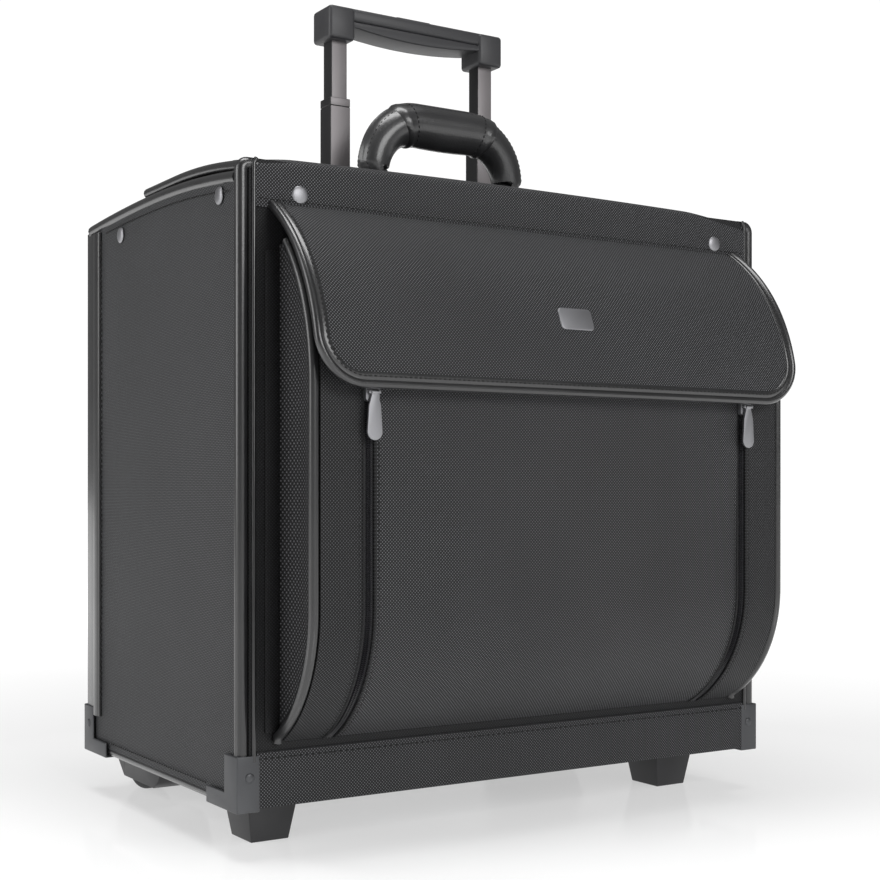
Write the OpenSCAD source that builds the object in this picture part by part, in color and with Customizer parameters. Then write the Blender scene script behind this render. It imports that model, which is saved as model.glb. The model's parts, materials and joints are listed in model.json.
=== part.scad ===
// Rolling flight case: a stiff-walled box on two wheels and two feet, with a
// telescopic trolley handle, two lids, a carry handle and a zipped front
// pocket under a flap. Front is -Y, the floor is Z = 0.

/* [Box] */
// Width of the box over its side panels
case_w = 414; // [380:1:520]
// Depth of the box from front panel to back panel
case_d = 262; // [230:1:330]
// Height of the box without its feet and lids
case_h = 386; // [360:1:480]
// Gap between the box and the floor
ground = 31; // [26:1:38]
// Thickness of the box's stiffened panels
panel_t = 5; // [4:0.5:7]
// Diameter of the leather piping along the side edges
piping_d = 7; // [6:0.5:8]

/* [Front pocket] */
// How far the pocket stands out from the front panel
pocket_reach = 50; // [40:1:56]
// Distance from the box's side to the pocket's side
pocket_inset = 26; // [22:1:40]
// Height of the pocket's lower seam above the box's bottom
pocket_low = 38; // [36:1:60]
// Height of the pocket's mouth above the box's bottom
pocket_mouth = 335; // [310:1:340]
// Thickness of the pocket's fabric wall
pocket_t = 2.5; // [2:0.5:3]
// Distance from the centre of the case to each zip
zip_x = 147; // [110:1:155]
// Width of the zip between the pocket's front and its sides
zip_w = 8; // [6:1:10]

/* [Flap] */
// How far the flap's lower edge stands out from the front panel
flap_reach = 63; // [61:0.5:70]
// Distance from the box's side to the flap's side
flap_inset = 20; // [16:1:40]
// Height of the flap's lower edge above the box's bottom
flap_low = 248; // [240:1:270]
// Height of the flap's sewn hinge above the box's bottom
flap_hinge = 358; // [352:1:362]
// Thickness of the flap
flap_t = 3.5; // [2.5:0.5:4]
// Width of the leather binding round the flap
binding_w = 8; // [5:1:12]
// Width of the plain metal badge on the flap
badge_w = 26; // [16:1:40]

/* [Lids] */
// Thickness of the front lid
lid_t = 7.7; // [6:0.1:10]
// Depth of the front lid from the front panel
lid_d = 169; // [165:1:185]
// Thickness of the rear lid
rear_lid_t = 7; // [5:0.5:8]

/* [Trolley] */
// Distance from the centre of the case to each trolley tube
tube_x = 63; // [50:1:80]
// Distance from the front panel to the trolley tubes
tube_y = 146; // [143:1:149]
// Outside width of the fixed square tubes
outer_tube_w = 20; // [20:0.5:22]
// Outside width of the middle square tubes
mid_tube_w = 16; // [15.5:0.5:16]
// Outside width of the top square tubes
top_tube_w = 12.5; // [11:0.5:12.5]
// Wall thickness of the tubes
tube_t = 1.2; // [1:0.1:1.4]
// Length of the middle tubes
mid_tube_l = 360; // [300:1:365]
// Length of the top tubes below the grip
top_tube_l = 350; // [280:1:350]
// Height of the middle tubes' upper end above the box's top, handle part raised
mid_rise = 84; // [70:1:100]
// Height of the grip's lower side above the box's top, handle part raised
grip_rise = 125; // [115:1:150]
// How far the grip runs past the middle of each tube
grip_over = 11; // [10:1:13]
// Depth of the grip from front to back
grip_d = 24; // [22:1:26]
// Height of the grip
grip_h = 24; // [22:1:28]

/* [Carry handle] */
// Distance between the carry handle's two pivots
handle_span = 111; // [100:1:130]
// Distance from the front panel to the carry handle
handle_y = 102; // [98:1:103]
// Height of the carry handle above its pivots
handle_rise = 58; // [54:1:66]
// Thickness of the carry handle's padded grip
handle_grip_d = 27; // [22:1:29]

/* [Wheels and feet] */
// Radius of the wheels
wheel_r = 32; // [28:1:34]
// Width of the tyres
wheel_w = 20; // [16:1:22]
// Distance from the box's side to the wheels' middle
wheel_inset = 42; // [40:1:48]
// Distance from the wheels' axle to the back panel
wheel_back = 18; // [14:1:22]
// Radius of the axles
axle_r = 3; // [2.5:0.5:4]
// Length of the feet at the floor
foot_l = 29; // [24:1:36]
// Width of the feet at the floor
foot_w = 26; // [22:1:32]

/* [Metal fittings] */
// Radius of the rivets' heads
rivet_r = 5; // [4:0.5:6]
// Thickness of the corner guards
guard_t = 1.6; // [1.2:0.2:2.4]
// Height of the corner guards
guard_h = 32; // [26:1:40]

/* [Hidden] */
$fn = 48;

fabric = [0.13, 0.13, 0.14];
leather = [0.06, 0.06, 0.065];
plastic = [0.05, 0.05, 0.055];
gunmetal = [0.30, 0.30, 0.32];
alloy = [0.48, 0.47, 0.46];
lining = [0.22, 0.22, 0.24];
rubber = [0.09, 0.09, 0.09];
chrome = [0.75, 0.75, 0.77];

// Clearances
gap = 0.3;          // between pieces that move past each other
run = 0.05;         // radial, between a pin and what turns on it
skin = 0.5;         // between loose inner pieces and the walls

// Overall places
half_w = case_w / 2;
binding_proud = 1.2;
front_reach = flap_reach + binding_proud;
back_reach = case_d - wheel_back + wheel_r;
yf = (front_reach - back_reach) / 2;    // the front panel's outer face
yb = yf + case_d;                       // the back panel's outer face
z0 = ground;                            // the box's bottom
z1 = z0 + case_h;                       // the box's top
piping_r = piping_d / 2;
inner_x = half_w - piping_d;            // where front and bottom panels end

// Piping round each side
piping_bend = 12;

// Rim frame and rivets
rim_t = 2;
rim_drop = 30;
rim_h = 20;
rivet_drop = 20;
rivet_side = 40;
rivet_side_front = 27;
rivet_side_back = 69;
rivet_head_t = 1.5;
shank_r = 2;

// Corner guards
guard_front_w = 13.5;
guard_side_w = 16.7;
guard_leg_l = 43;
guard_leg_h = 9;
guard_rivet_r = 3;
guard_rivet_z = 19;
guard_rivet_t = 1;

// Feet
foot_x = half_w - wheel_inset;
foot_y = yf + 58;
foot_flare = 5;
foot_screw_r = 4;
foot_screw_deep = 12;

// Wheels
wheel_x = half_w - wheel_inset;
wheel_y = yb - wheel_back;
wheel_z = wheel_r;
housing_wall = 6;
housing_half_w = wheel_w / 2 + 3 + housing_wall;
housing_front = wheel_y - 71;
housing_top = wheel_z + wheel_r + 3 + housing_wall;
housing_low = z0 - 21;
well_r = wheel_r + 3;
tyre_t = 8;
hub_w = wheel_w - 2;

// Trolley
tube_yc = yf + tube_y;
grip_half_w = tube_x + grip_over;
bezel_half_w = grip_half_w + 4;
bezel_d = 34;
bezel_h = 10;
bezel_top = z1 + 6;
base_h = 14;
tube_low = z0 + panel_t + base_h;
mid_top = z1 + mid_rise;
grip_low = z1 + grip_rise;
grip_top = grip_low + grip_h;
grip_block_w = 20;
grip_shell_h = 10;
grip_belly = 8;
grip_belly_end = 4; // what is left of the belly where it meets the blocks
collar_h = 6;
tube_room = 0.5;
tube_seat = 14;     // how far the top tubes go up into the grip
button_l = 30;
button_w = 12;
button_proud = 2;
button_deep = 5;

// Dividers and inner pieces
divider_t = 4;
pad_t = 3;
divider_top = z1 - 36;
sleeve_t = 3;
sleeve_gap = 28;
sleeve_half_w = half_w - 27;
sleeve_top = z0 + 300;
divider_yf = tube_yc - outer_tube_w / 2 - divider_t;
divider_yr = tube_yc + outer_tube_w / 2;
file_t = 1.5;
file_top = z0 + 260;

// Front lid
lid_edge = 4;                       // the lid stops this far inside the box's sides
lid_bottom = z1 + gap;
lid_top = lid_bottom + lid_t;
lid_nose_r = lid_t / 2;
lid_axis = [yf + lid_nose_r + 0.15, lid_bottom + lid_nose_r];
lid_piping_r = 3.5;
lid_half_w = half_w - lid_edge - 2 * lid_piping_r;
lid_back = yf + lid_d;
notch_half_w = bezel_half_w + 2;
notch_front = tube_yc - bezel_d / 2 - 2;

// Rear lid
rear_lid_top = z1 - 3;
rear_lid_bottom = rear_lid_top - rear_lid_t;
rear_nose_r = rear_lid_t / 2;
rear_lid_axis = [yb - rear_nose_r, rear_lid_bottom + rear_nose_r];
rear_lid_half_w = inner_x - 1;
rear_lid_front = lid_back + 1.5;

// Locks
lock_w = 58;
lock_d = 20;
lock_h = 9;
lock_x = 142;
lock_yc = lid_back - 20;
dial_r = 5.5;
dial_w = 4;
dial_pitch = 7;
dial_first = 18;    // from the lock's middle to its outermost dial
dial_z = lid_top + dial_r + 0.7;
dial_pin_r = 1;
lock_button_out = 20;
lock_button_l = 12;
catch_w = 30;
catch_d = 14;
catch_t = 2;

// Carry handle
mount_plate_t = 2;
pivot_y = yf + handle_y;
pivot_z = lid_top + 10;
pivot_r = 2.5;
tab_half_w = 9;
tab_r = 7;
ear_t = 3;
leg_r = 11;
handle_grip_r = handle_grip_d / 2;
handle_bend = 30;
bar_z = pivot_z + handle_rise - handle_grip_r;

// Pocket outline
pocket_half_w = half_w - pocket_inset;
pocket_bend_low = 92;
pocket_foot = 4.3;                  // how far the sheet's foot stands off the wall
pocket_bend_low_z = z0 + pocket_low + pocket_t + sqrt(pow(pocket_bend_low, 2)
    - pow(pocket_bend_low - pocket_reach + pocket_foot, 2));
pocket_bend_top = 127;
pocket_bend_top_z = z0 + 250;
gusset_t = 2.5;
pocket_piping_w = 5;
chain_w = 4;
chain_t = 0.8;
steps = 20;

// Flap outline
flap_bend = 128;
flap_bend_z = z0 + 250;
flap_yc = yf - flap_reach + flap_bend;
flap_sheet_top = z0 + flap_hinge - 1;
flap_nose_r = 2.5;
flap_axis = [yf - flap_nose_r - gap, z0 + flap_hinge];
flap_half_w = half_w - flap_inset;
flap_corner = 30;
badge_h = 15;
badge_t = 1.5;
badge_z = z0 + 296;

// Zip sliders and pulls
slider_w = 9;
slider_h = 14;
slider_t = 3.4;
slider_z = z0 + flap_low - 1;
pull_pin_z = z0 + flap_low - 2.5;
pull_t = 1.6;
pull_head_r = 1.5;
pull_pin_r = 0.6;
pull_y = yf - pocket_reach - chain_t - gap - slider_t - pull_head_r - gap;
pull_l = 28;
pull_w = 10;

// Points along an arc, centre c as [y, z]
function arc(c, r, a0, a1, n = steps) =
    [for (i = [0:n]) let (a = a0 + (a1 - a0) * i / n) [c[0] + r * cos(a), c[1] + r * sin(a)]];
function reversed(p) = [for (i = [len(p) - 1:-1:0]) p[i]];
function rounded(x0, x1, y0, y1, r, n = 8) = concat(
    arc([x1 - r, y1 - r], r, 0, 90, n), arc([x0 + r, y1 - r], r, 90, 180, n),
    arc([x0 + r, y0 + r], r, 180, 270, n), arc([x1 - r, y0 + r], r, 270, 360, n));

// The pocket's front outline in Y and Z, moved inwards by d
function pocket_line(d, low, top) = concat(
    arc([yf - pocket_reach + pocket_bend_low, pocket_bend_low_z], pocket_bend_low - d,
        180 + asin((pocket_bend_low_z - low) / (pocket_bend_low - d)), 180),
    arc([yf - pocket_reach + pocket_bend_top, pocket_bend_top_z], pocket_bend_top - d,
        180, 180 - asin((top - pocket_bend_top_z) / (pocket_bend_top - d))));

// The flap's sheet between two depths below its outer face
function flap_line(d) = arc([flap_yc, flap_bend_z], flap_bend - d,
    180 - asin((flap_sheet_top - flap_bend_z) / (flap_bend - d)),
    180 + asin((flap_bend_z - z0 - flap_low) / (flap_bend - d)));

module box(x, y, z) {
    translate([x[0], y[0], z[0]]) cube([x[1] - x[0], y[1] - y[0], z[1] - z[0]]);
}

// Extrudes an outline drawn in Y and Z between two X places
module along_x(x0, x1) {
    translate([x0, 0, 0]) rotate([90, 0, 90]) linear_extrude(x1 - x0) children();
}

// Extrudes an outline drawn in X and Z between two Y places
module along_y(y0, y1) {
    translate([0, y1, 0]) rotate([90, 0, 0]) linear_extrude(y1 - y0) children();
}

module rod_x(x0, x1, y, z, r) {
    translate([x0, y, z]) rotate([0, 90, 0]) cylinder(h = x1 - x0, r = r);
}

module rod_y(x, y0, y1, z, r) {
    translate([x, y0, z]) rotate([-90, 0, 0]) cylinder(h = y1 - y0, r = r);
}

module both_sides() {
    children();
    mirror([1, 0, 0]) children();
}

module side(s) {
    if (s < 0) mirror([1, 0, 0]) children();
    else children();
}

module square_tube(w, inside, low, top) {
    difference() {
        translate([-w / 2, -w / 2, low]) cube([w, w, top - low]);
        translate([-inside / 2, -inside / 2, low - 1]) cube([inside, inside, top - low + 2]);
    }
}

module at_tubes() {
    for (s = [-1, 1]) translate([s * tube_x, tube_yc, 0]) children();
}

// Where each rim rivet's shank runs, as a row of rods
module rim_shanks(r) {
    both_sides() {
        rod_y(half_w - rivet_side, yf - rivet_head_t, yf + panel_t + rim_t, z1 - rivet_drop, r);
        rod_y(half_w - rivet_side, yb - panel_t - rim_t, yb + rivet_head_t, z1 - rivet_drop, r);
        for (y = [yf + rivet_side_front, yb - rivet_side_back])
            rod_x(half_w - panel_t - rim_t, half_w + rivet_head_t, y, z1 - rivet_drop, r);
    }
}

module wheel_wells(extra) {
    both_sides()
        box([wheel_x - housing_half_w - extra, wheel_x + housing_half_w + extra],
            [housing_front - extra, yb + 1], [z0 - 1, housing_top + extra]);
}

module bottom_panel() {
    color(plastic) difference() {
        box([-inner_x, inner_x], [yf + panel_t, yb - panel_t], [z0, z0 + panel_t]);
        wheel_wells(0);
    }
}

module front_panel() {
    color(fabric) difference() {
        box([-inner_x, inner_x], [yf, yf + panel_t], [z0, z1]);
        rim_shanks(shank_r);
    }
}

module back_panel() {
    color(fabric) difference() {
        box([-inner_x, inner_x], [yb - panel_t, yb], [z0, rear_lid_bottom - gap]);
        wheel_wells(0);
        rim_shanks(shank_r);
    }
}

module side_panel(s) {
    color(fabric) side(s) difference() {
        along_x(half_w - panel_t, half_w)
            polygon(rounded(yf + piping_d, yb - piping_d, z0 + piping_d, z1 - piping_d,
                piping_bend - piping_r));
        rim_shanks(shank_r);
    }
}

// One loop of piping round a side panel: four straight runs and four bends
module piping_loop() {
    low_y = yf + piping_r + piping_bend;
    high_y = yb - piping_r - piping_bend;
    low_z = z0 + piping_r + piping_bend;
    high_z = z1 - piping_r - piping_bend;
    x = half_w - piping_r;
    for (z = [z0 + piping_r, z1 - piping_r]) rod_y(x, low_y, high_y, z, piping_r);
    for (y = [yf + piping_r, yb - piping_r])
        translate([x, y, low_z]) cylinder(h = high_z - low_z, r = piping_r);
    for (c = [[high_y, high_z, 0], [low_y, high_z, 90], [low_y, low_z, 180], [high_y, low_z, 270]])
        translate([x, c[0], c[1]]) rotate([90, 0, 90]) rotate([0, 0, c[2]])
            rotate_extrude(angle = 90) translate([piping_bend, 0]) circle(r = piping_r);
}

module edge_pipings() {
    color(leather) both_sides() piping_loop();
}

// Flat steel bars that stiffen the opening, riveted through the panels
module rim_frame() {
    z = [z1 - rim_drop, z1 - rim_drop + rim_h];
    color(gunmetal) difference() {
        union() {
            for (y = [yf + panel_t, yb - panel_t - rim_t])
                box([-inner_x, inner_x], [y, y + rim_t], [z[0], min(z[1], rear_lid_bottom - 1)]);
            both_sides() box([half_w - panel_t - rim_t, half_w - panel_t],
                [yf + piping_d + rim_t, yb - piping_d - rim_t], z);
        }
        rim_shanks(shank_r);
    }
}

module rim_rivets() {
    color(chrome) union() {
        rim_shanks(shank_r);
        intersection() {
            rim_shanks(rivet_r);
            difference() {
                box([-half_w - 9, half_w + 9], [yf - 9, yb + 9], [z0, z1]);
                box([-half_w, half_w], [yf, yb], [z0 - 1, z1 + 1]);
            }
        }
    }
}

// One pressed guard on the right: rear is true for the back corner
module corner_guard(rear) {
    y = rear ? yb : yf;
    in = rear ? -1 : 1;
    translate([0, y, 0]) mirror([0, rear ? 1 : 0, 0]) difference() {
        box([half_w - guard_front_w, half_w + guard_t], [-guard_t, guard_leg_l],
            [z0 - guard_t, z0 + guard_h]);
        box([0, half_w], [0, guard_leg_l + 1], [z0, z0 + guard_h + 1]);
        box([half_w - 1, half_w + 9], [guard_side_w, guard_leg_l + 1],
            [z0 + guard_leg_h, z0 + guard_h + 1]);
    }
}

module corner_guards() {
    color(gunmetal) both_sides() {
        corner_guard(false);
        corner_guard(true);
    }
}

module guard_rivets() {
    color(chrome) both_sides() for (rear = [false, true])
        translate([0, rear ? yb : yf, 0]) mirror([0, rear ? 1 : 0, 0]) {
            rod_y(half_w - guard_front_w / 2, -guard_t - guard_rivet_t, -guard_t,
                z0 + guard_rivet_z, guard_rivet_r);
            if (rear) rod_x(half_w + guard_t, half_w + guard_t + guard_rivet_t, guard_side_w / 2,
                z0 + guard_rivet_z, guard_rivet_r);
        }
}

// A tapered foot, wider where it meets the box, with a screw hole from below
module foot(s) {
    color(plastic) translate([s * foot_x, foot_y, 0]) difference() {
        intersection() {
            rotate([90, 0, 90]) translate([0, 0, -foot_w]) linear_extrude(2 * foot_w)
                polygon([[-foot_l / 2, 0], [foot_l / 2, 0],
                    [foot_l / 2 + foot_flare, z0], [-foot_l / 2 - foot_flare, z0]]);
            translate([0, foot_l, 0]) rotate([90, 0, 0]) linear_extrude(2 * foot_l)
                polygon([[-foot_w / 2, 0], [foot_w / 2, 0],
                    [foot_w / 2 + foot_flare, z0], [-foot_w / 2 - foot_flare, z0]]);
        }
        translate([0, 0, -1]) cylinder(h = foot_screw_deep + 1, r = foot_screw_r);
    }
}

// A moulded well let into the box's lower back corner, with cheeks for the axle
module wheel_housing(s) {
    color(plastic) side(s) difference() {
        along_x(wheel_x - housing_half_w, wheel_x + housing_half_w)
            polygon([[housing_front, housing_top], [housing_front, z0],
                [housing_front + 9, housing_low + 5], [housing_front + 18, housing_low],
                [yb - 14, housing_low], [yb, z0 - 9], [yb, housing_top]]);
        rod_x(wheel_x - wheel_w / 2 - 3, wheel_x + wheel_w / 2 + 3, wheel_y, wheel_z, well_r);
        box([wheel_x - wheel_w / 2 - 3, wheel_x + wheel_w / 2 + 3],
            [wheel_y, yb + 1], [housing_low - 1, wheel_z + well_r]);
        rod_x(wheel_x - housing_half_w - 1, wheel_x + housing_half_w + 1,
            wheel_y, wheel_z, axle_r);
    }
}

module wheel_axles() {
    color(chrome) both_sides()
        rod_x(wheel_x - housing_half_w, wheel_x + housing_half_w, wheel_y, wheel_z, axle_r);
}

module tyre(s) {
    color(rubber) side(s) difference() {
        translate([wheel_x, wheel_y, wheel_z]) rotate([0, 90, 0]) rotate_extrude()
            polygon([[0.1, -wheel_w / 2], [wheel_r - 3, -wheel_w / 2], [wheel_r, -wheel_w / 2 + 3],
                [wheel_r, wheel_w / 2 - 3], [wheel_r - 3, wheel_w / 2], [0.1, wheel_w / 2]]);
        rod_x(wheel_x - wheel_w, wheel_x + wheel_w, wheel_y, wheel_z, wheel_r - tyre_t);
    }
}

// A moulded hub with five round windows
module hub(s) {
    color(gunmetal) side(s) difference() {
        rod_x(wheel_x - hub_w / 2, wheel_x + hub_w / 2, wheel_y, wheel_z, wheel_r - tyre_t);
        rod_x(wheel_x - wheel_w, wheel_x + wheel_w, wheel_y, wheel_z, axle_r + run);
        for (i = [0:4]) translate([0, wheel_y, wheel_z]) rotate([72 * i, 0, 0])
            rod_x(wheel_x - wheel_w, wheel_x + wheel_w, 0, (wheel_r - tyre_t + axle_r) / 2, 4.5);
    }
}

module trolley_outer_tubes() {
    color(alloy) at_tubes()
        square_tube(outer_tube_w, outer_tube_w - 2 * tube_t, tube_low, bezel_top - bezel_h);
}

// The plate round the tubes in the front lid's notch
module trolley_bezel() {
    w = mid_tube_w + 2 * tube_room;
    color(plastic) difference() {
        box([-bezel_half_w, bezel_half_w], [tube_yc - bezel_d / 2, tube_yc + bezel_d / 2],
            [bezel_top - bezel_h, bezel_top]);
        at_tubes() translate([-w / 2, -w / 2, z1 - bezel_h]) cube([w, w, 3 * bezel_h]);
    }
}

// The block that ties the fixed tubes together on the box's bottom
module trolley_base() {
    color(plastic)
        box([-bezel_half_w, bezel_half_w], [tube_yc - outer_tube_w / 2, tube_yc + outer_tube_w / 2],
            [z0 + panel_t, tube_low]);
}

module divider(y) {
    box([-half_w + panel_t + skin, half_w - panel_t - skin], [y, y + divider_t],
        [z0 + panel_t + pad_t, divider_top]);
}

module divider_front() {
    color(lining) divider(divider_yf);
}

module divider_rear() {
    color(lining) divider(divider_yr);
}

module floor_pad() {
    z = [z0 + panel_t, z0 + panel_t + pad_t];
    color(lining) difference() {
        box([-inner_x, inner_x], [yf + panel_t + skin, yb - panel_t - skin], z);
        box([-bezel_half_w - skin, bezel_half_w + skin],
            [tube_yc - outer_tube_w / 2 - skin, tube_yc + outer_tube_w / 2 + skin], [z[0] - 1, z[1] + 1]);
        wheel_wells(skin);
    }
}

// A padded pouch for a computer, open at the top
module laptop_sleeve() {
    y0 = divider_yr + divider_t;
    low = housing_top + 2;
    color(lining) difference() {
        box([-sleeve_half_w, sleeve_half_w], [y0, y0 + sleeve_gap + 2 * sleeve_t], [low, sleeve_top]);
        box([-sleeve_half_w + sleeve_t, sleeve_half_w - sleeve_t],
            [y0 + sleeve_t, y0 + sleeve_t + sleeve_gap], [low + sleeve_t, sleeve_top + 1]);
    }
}

module file_dividers() {
    room = divider_yf - yf - panel_t;
    color(lining) for (i = [1, 2])
        box([-half_w + panel_t + skin, half_w - panel_t - skin],
            [yf + panel_t + room * i / 3, yf + panel_t + room * i / 3 + file_t],
            [z0 + panel_t + pad_t, file_top]);
}

// The half plane in front of the front panel, in Y and Z
module in_front() {
    translate([yf - 2 * pocket_reach, z0]) square([2 * pocket_reach, case_h]);
}

// A strip of the pocket's front wall, of thickness t
module pocket_sheet(x0, x1, t, proud = 0) {
    low = z0 + pocket_low + pocket_t;
    top = z0 + pocket_mouth;
    along_x(x0, x1) intersection() {
        polygon(concat(pocket_line(-proud, low, top), reversed(pocket_line(t - proud, low, top))));
        in_front();
    }
}

// The pocket's outer strip beside the zip and its gusset, sewn to the front panel
module pocket_side(s) {
    color(fabric) side(s) {
        pocket_sheet(zip_x + zip_w / 2, pocket_half_w - gusset_t, pocket_t);
        along_x(pocket_half_w - gusset_t, pocket_half_w) intersection() {
            polygon(concat([[yf, z0 + pocket_low + pocket_t]],
                pocket_line(0, z0 + pocket_low + pocket_t, z0 + pocket_mouth),
                [[yf, z0 + pocket_mouth]]));
            in_front();
        }
    }
}

module pocket_front() {
    color(fabric) union() {
        pocket_sheet(-zip_x + zip_w / 2, zip_x - zip_w / 2, pocket_t);
        box([-pocket_half_w + gusset_t, pocket_half_w - gusset_t], [yf - 14, yf],
            [z0 + pocket_low, z0 + pocket_low + pocket_t]);
    }
}

// A bead of piping along each gusset's outer edge
module pocket_pipings() {
    color(leather) both_sides()
        pocket_sheet(pocket_half_w, pocket_half_w + pocket_piping_w, pocket_piping_w);
}

// Tape and toothed chain of both zips, sewn between the pocket's front and sides
module zippers() {
    color(plastic) both_sides() union() {
        pocket_sheet(zip_x - zip_w / 2, zip_x + zip_w / 2, pocket_t);
        pocket_sheet(zip_x - chain_w / 2, zip_x + chain_w / 2, 1, chain_t);
    }
}

module zip_slider(s) {
    y = yf - pocket_reach - chain_t - gap;
    color(chrome) side(s) union() {
        along_y(y - slider_t, y) translate([zip_x, 0])
            polygon(rounded(-slider_w / 2, slider_w / 2, slider_z - slider_h / 2,
                slider_z + slider_h / 2, 2, 4));
        for (d = [-1, 1]) translate([zip_x + d * 3.2, 0, 0])
            box([-0.7, 0.7], [pull_y - 0.9, y - slider_t + 0.5], [pull_pin_z - 1, pull_pin_z + 1]);
        rod_x(zip_x - 3.2, zip_x + 3.2, pull_y, pull_pin_z, pull_pin_r);
    }
}

// A flat metal pull that hangs from the slider's pin
module zip_pull(s) {
    color(chrome) side(s) difference() {
        union() {
            rod_x(zip_x - 2.2, zip_x + 2.2, pull_y, pull_pin_z, pull_head_r);
            along_y(pull_y - pull_t / 2, pull_y + pull_t / 2) translate([zip_x, pull_pin_z])
                polygon(concat([[2.2, 0], [-2.2, 0], [-2.2, -2], [-pull_w * 0.4, -8]],
                    arc([0, pull_w / 2 - pull_l], pull_w / 2, 180, 360, 12),
                    [[pull_w * 0.4, -8], [2.2, -2]]));
        }
        rod_x(zip_x - 3, zip_x + 3, pull_y, pull_pin_z, pull_pin_r + run);
    }
}

module flap_sheet(t0, t1) {
    along_x(-flap_half_w, flap_half_w) polygon(concat(flap_line(t0), reversed(flap_line(t1))));
}

// The flap's outline seen from the front, made smaller by d
module flap_outline(d) {
    polygon(rounded(-flap_half_w + d, flap_half_w - d, z0 + flap_low + d, z1 + 40,
        flap_corner - d));
}

module flap_panel() {
    color(fabric) union() {
        intersection() {
            flap_sheet(0, flap_t);
            along_y(yf - 2 * flap_reach, yf - gap) flap_outline(binding_w);
        }
        rod_x(-flap_half_w + binding_w, flap_half_w - binding_w,
            flap_axis[0], flap_axis[1], flap_nose_r);
    }
}

module flap_binding() {
    color(leather) intersection() {
        flap_sheet(-binding_proud, flap_t + 0.8);
        along_y(yf - 2 * flap_reach, yf - gap) difference() {
            flap_outline(0);
            flap_outline(binding_w);
        }
    }
}

module flap_badge() {
    tilt = asin((badge_z - flap_bend_z) / flap_bend);
    color(chrome) translate([0, flap_yc, flap_bend_z]) rotate([-tilt, 0, 0])
        translate([0, -flap_bend, 0]) rotate([90, 0, 0]) linear_extrude(badge_t)
            polygon(rounded(-badge_w / 2, badge_w / 2, -badge_h / 2, badge_h / 2, 3, 5));
}

// The front lid: a stiff board with a round front edge and a notch for the bezel
module front_lid_panel() {
    color(fabric) union() {
        difference() {
            box([-lid_half_w, lid_half_w], [lid_axis[0], lid_back - 2 * lid_piping_r],
                [lid_bottom, lid_top]);
            box([-notch_half_w, notch_half_w], [notch_front, lid_back + 1],
                [lid_bottom - 1, lid_top + 1]);
        }
        rod_x(-lid_half_w, lid_half_w, lid_axis[0], lid_axis[1], lid_nose_r);
    }
}

module front_lid_piping() {
    z = lid_axis[1];
    r = lid_piping_r;
    color(leather) both_sides() {
        rod_y(lid_half_w + r, lid_axis[0], lid_back - 1, z, r);
        rod_x(notch_half_w, lid_half_w - gap, lid_back - r, z, r);
    }
}

function dial_x(i) = lock_x + dial_first - i * dial_pitch;

// Two combination locks: a body with three slots, and the pin that the dials turn on
module lock_bodies() {
    color(gunmetal) both_sides() {
        difference() {
            along_y(lock_yc - lock_d / 2, lock_yc + lock_d / 2)
                polygon([[lock_x - lock_w / 2, lid_top], [lock_x + lock_w / 2, lid_top],
                    [lock_x + lock_w / 2 - 2, lid_top + lock_h],
                    [lock_x - lock_w / 2 + 2, lid_top + lock_h]]);
            for (i = [0:2]) translate([dial_x(i), lock_yc, lid_top])
                box([-dial_w / 2 - gap, dial_w / 2 + gap], [-dial_r - gap, dial_r + gap],
                    [0.2, lock_h + 1]);
        }
        rod_x(dial_x(2) - dial_w, dial_x(0) + dial_w, lock_yc, dial_z, dial_pin_r);
    }
}

module lock_button(s) {
    color(chrome) side(s)
        box([lock_x - lock_button_out, lock_x - lock_button_out + lock_button_l],
            [lock_yc - 4, lock_yc + 4], [lid_top + lock_h + 0.1, lid_top + lock_h + 2.1]);
}

module dial(s, i) {
    color(chrome) side(s) difference() {
        rod_x(dial_x(i) - dial_w / 2, dial_x(i) + dial_w / 2, lock_yc, dial_z, dial_r);
        rod_x(dial_x(i) - dial_w, dial_x(i) + dial_w, lock_yc, dial_z, dial_pin_r + run);
        for (a = [0:36:324]) translate([0, lock_yc, dial_z]) rotate([a, 0, 0])
            box([dial_x(i) - dial_w, dial_x(i) + dial_w], [-0.4, 0.4], [dial_r - 0.4, dial_r + 1]);
    }
}

module lock_catches() {
    color(gunmetal) both_sides()
        box([lock_x - catch_w / 2, lock_x + catch_w / 2],
            [rear_lid_front + 2, rear_lid_front + 2 + catch_d], [rear_lid_top, rear_lid_top + catch_t]);
}

module rear_lid_panel() {
    color(fabric) union() {
        box([-rear_lid_half_w, rear_lid_half_w], [rear_lid_front, rear_lid_axis[0]],
            [rear_lid_bottom, rear_lid_top]);
        rod_x(-rear_lid_half_w, rear_lid_half_w, rear_lid_axis[0], rear_lid_axis[1], rear_nose_r);
    }
}

// Two forked brackets with the carry handle's pins
module handle_mounts() {
    color(gunmetal) both_sides() {
        box([handle_span / 2 - 17, handle_span / 2 + 17], [pivot_y - 10, pivot_y + 10],
            [lid_top, lid_top + mount_plate_t]);
        for (d = [-1, 1]) translate([handle_span / 2 + d * (tab_half_w + gap + ear_t / 2), pivot_y, 0])
            union() {
                box([-ear_t / 2, ear_t / 2], [-5, 5], [lid_top + mount_plate_t, pivot_z]);
                rod_x(-ear_t / 2, ear_t / 2, 0, pivot_z, 5);
            }
        rod_x(handle_span / 2 - tab_half_w - gap, handle_span / 2 + tab_half_w + gap,
            pivot_y, pivot_z, pivot_r);
    }
}

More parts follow.
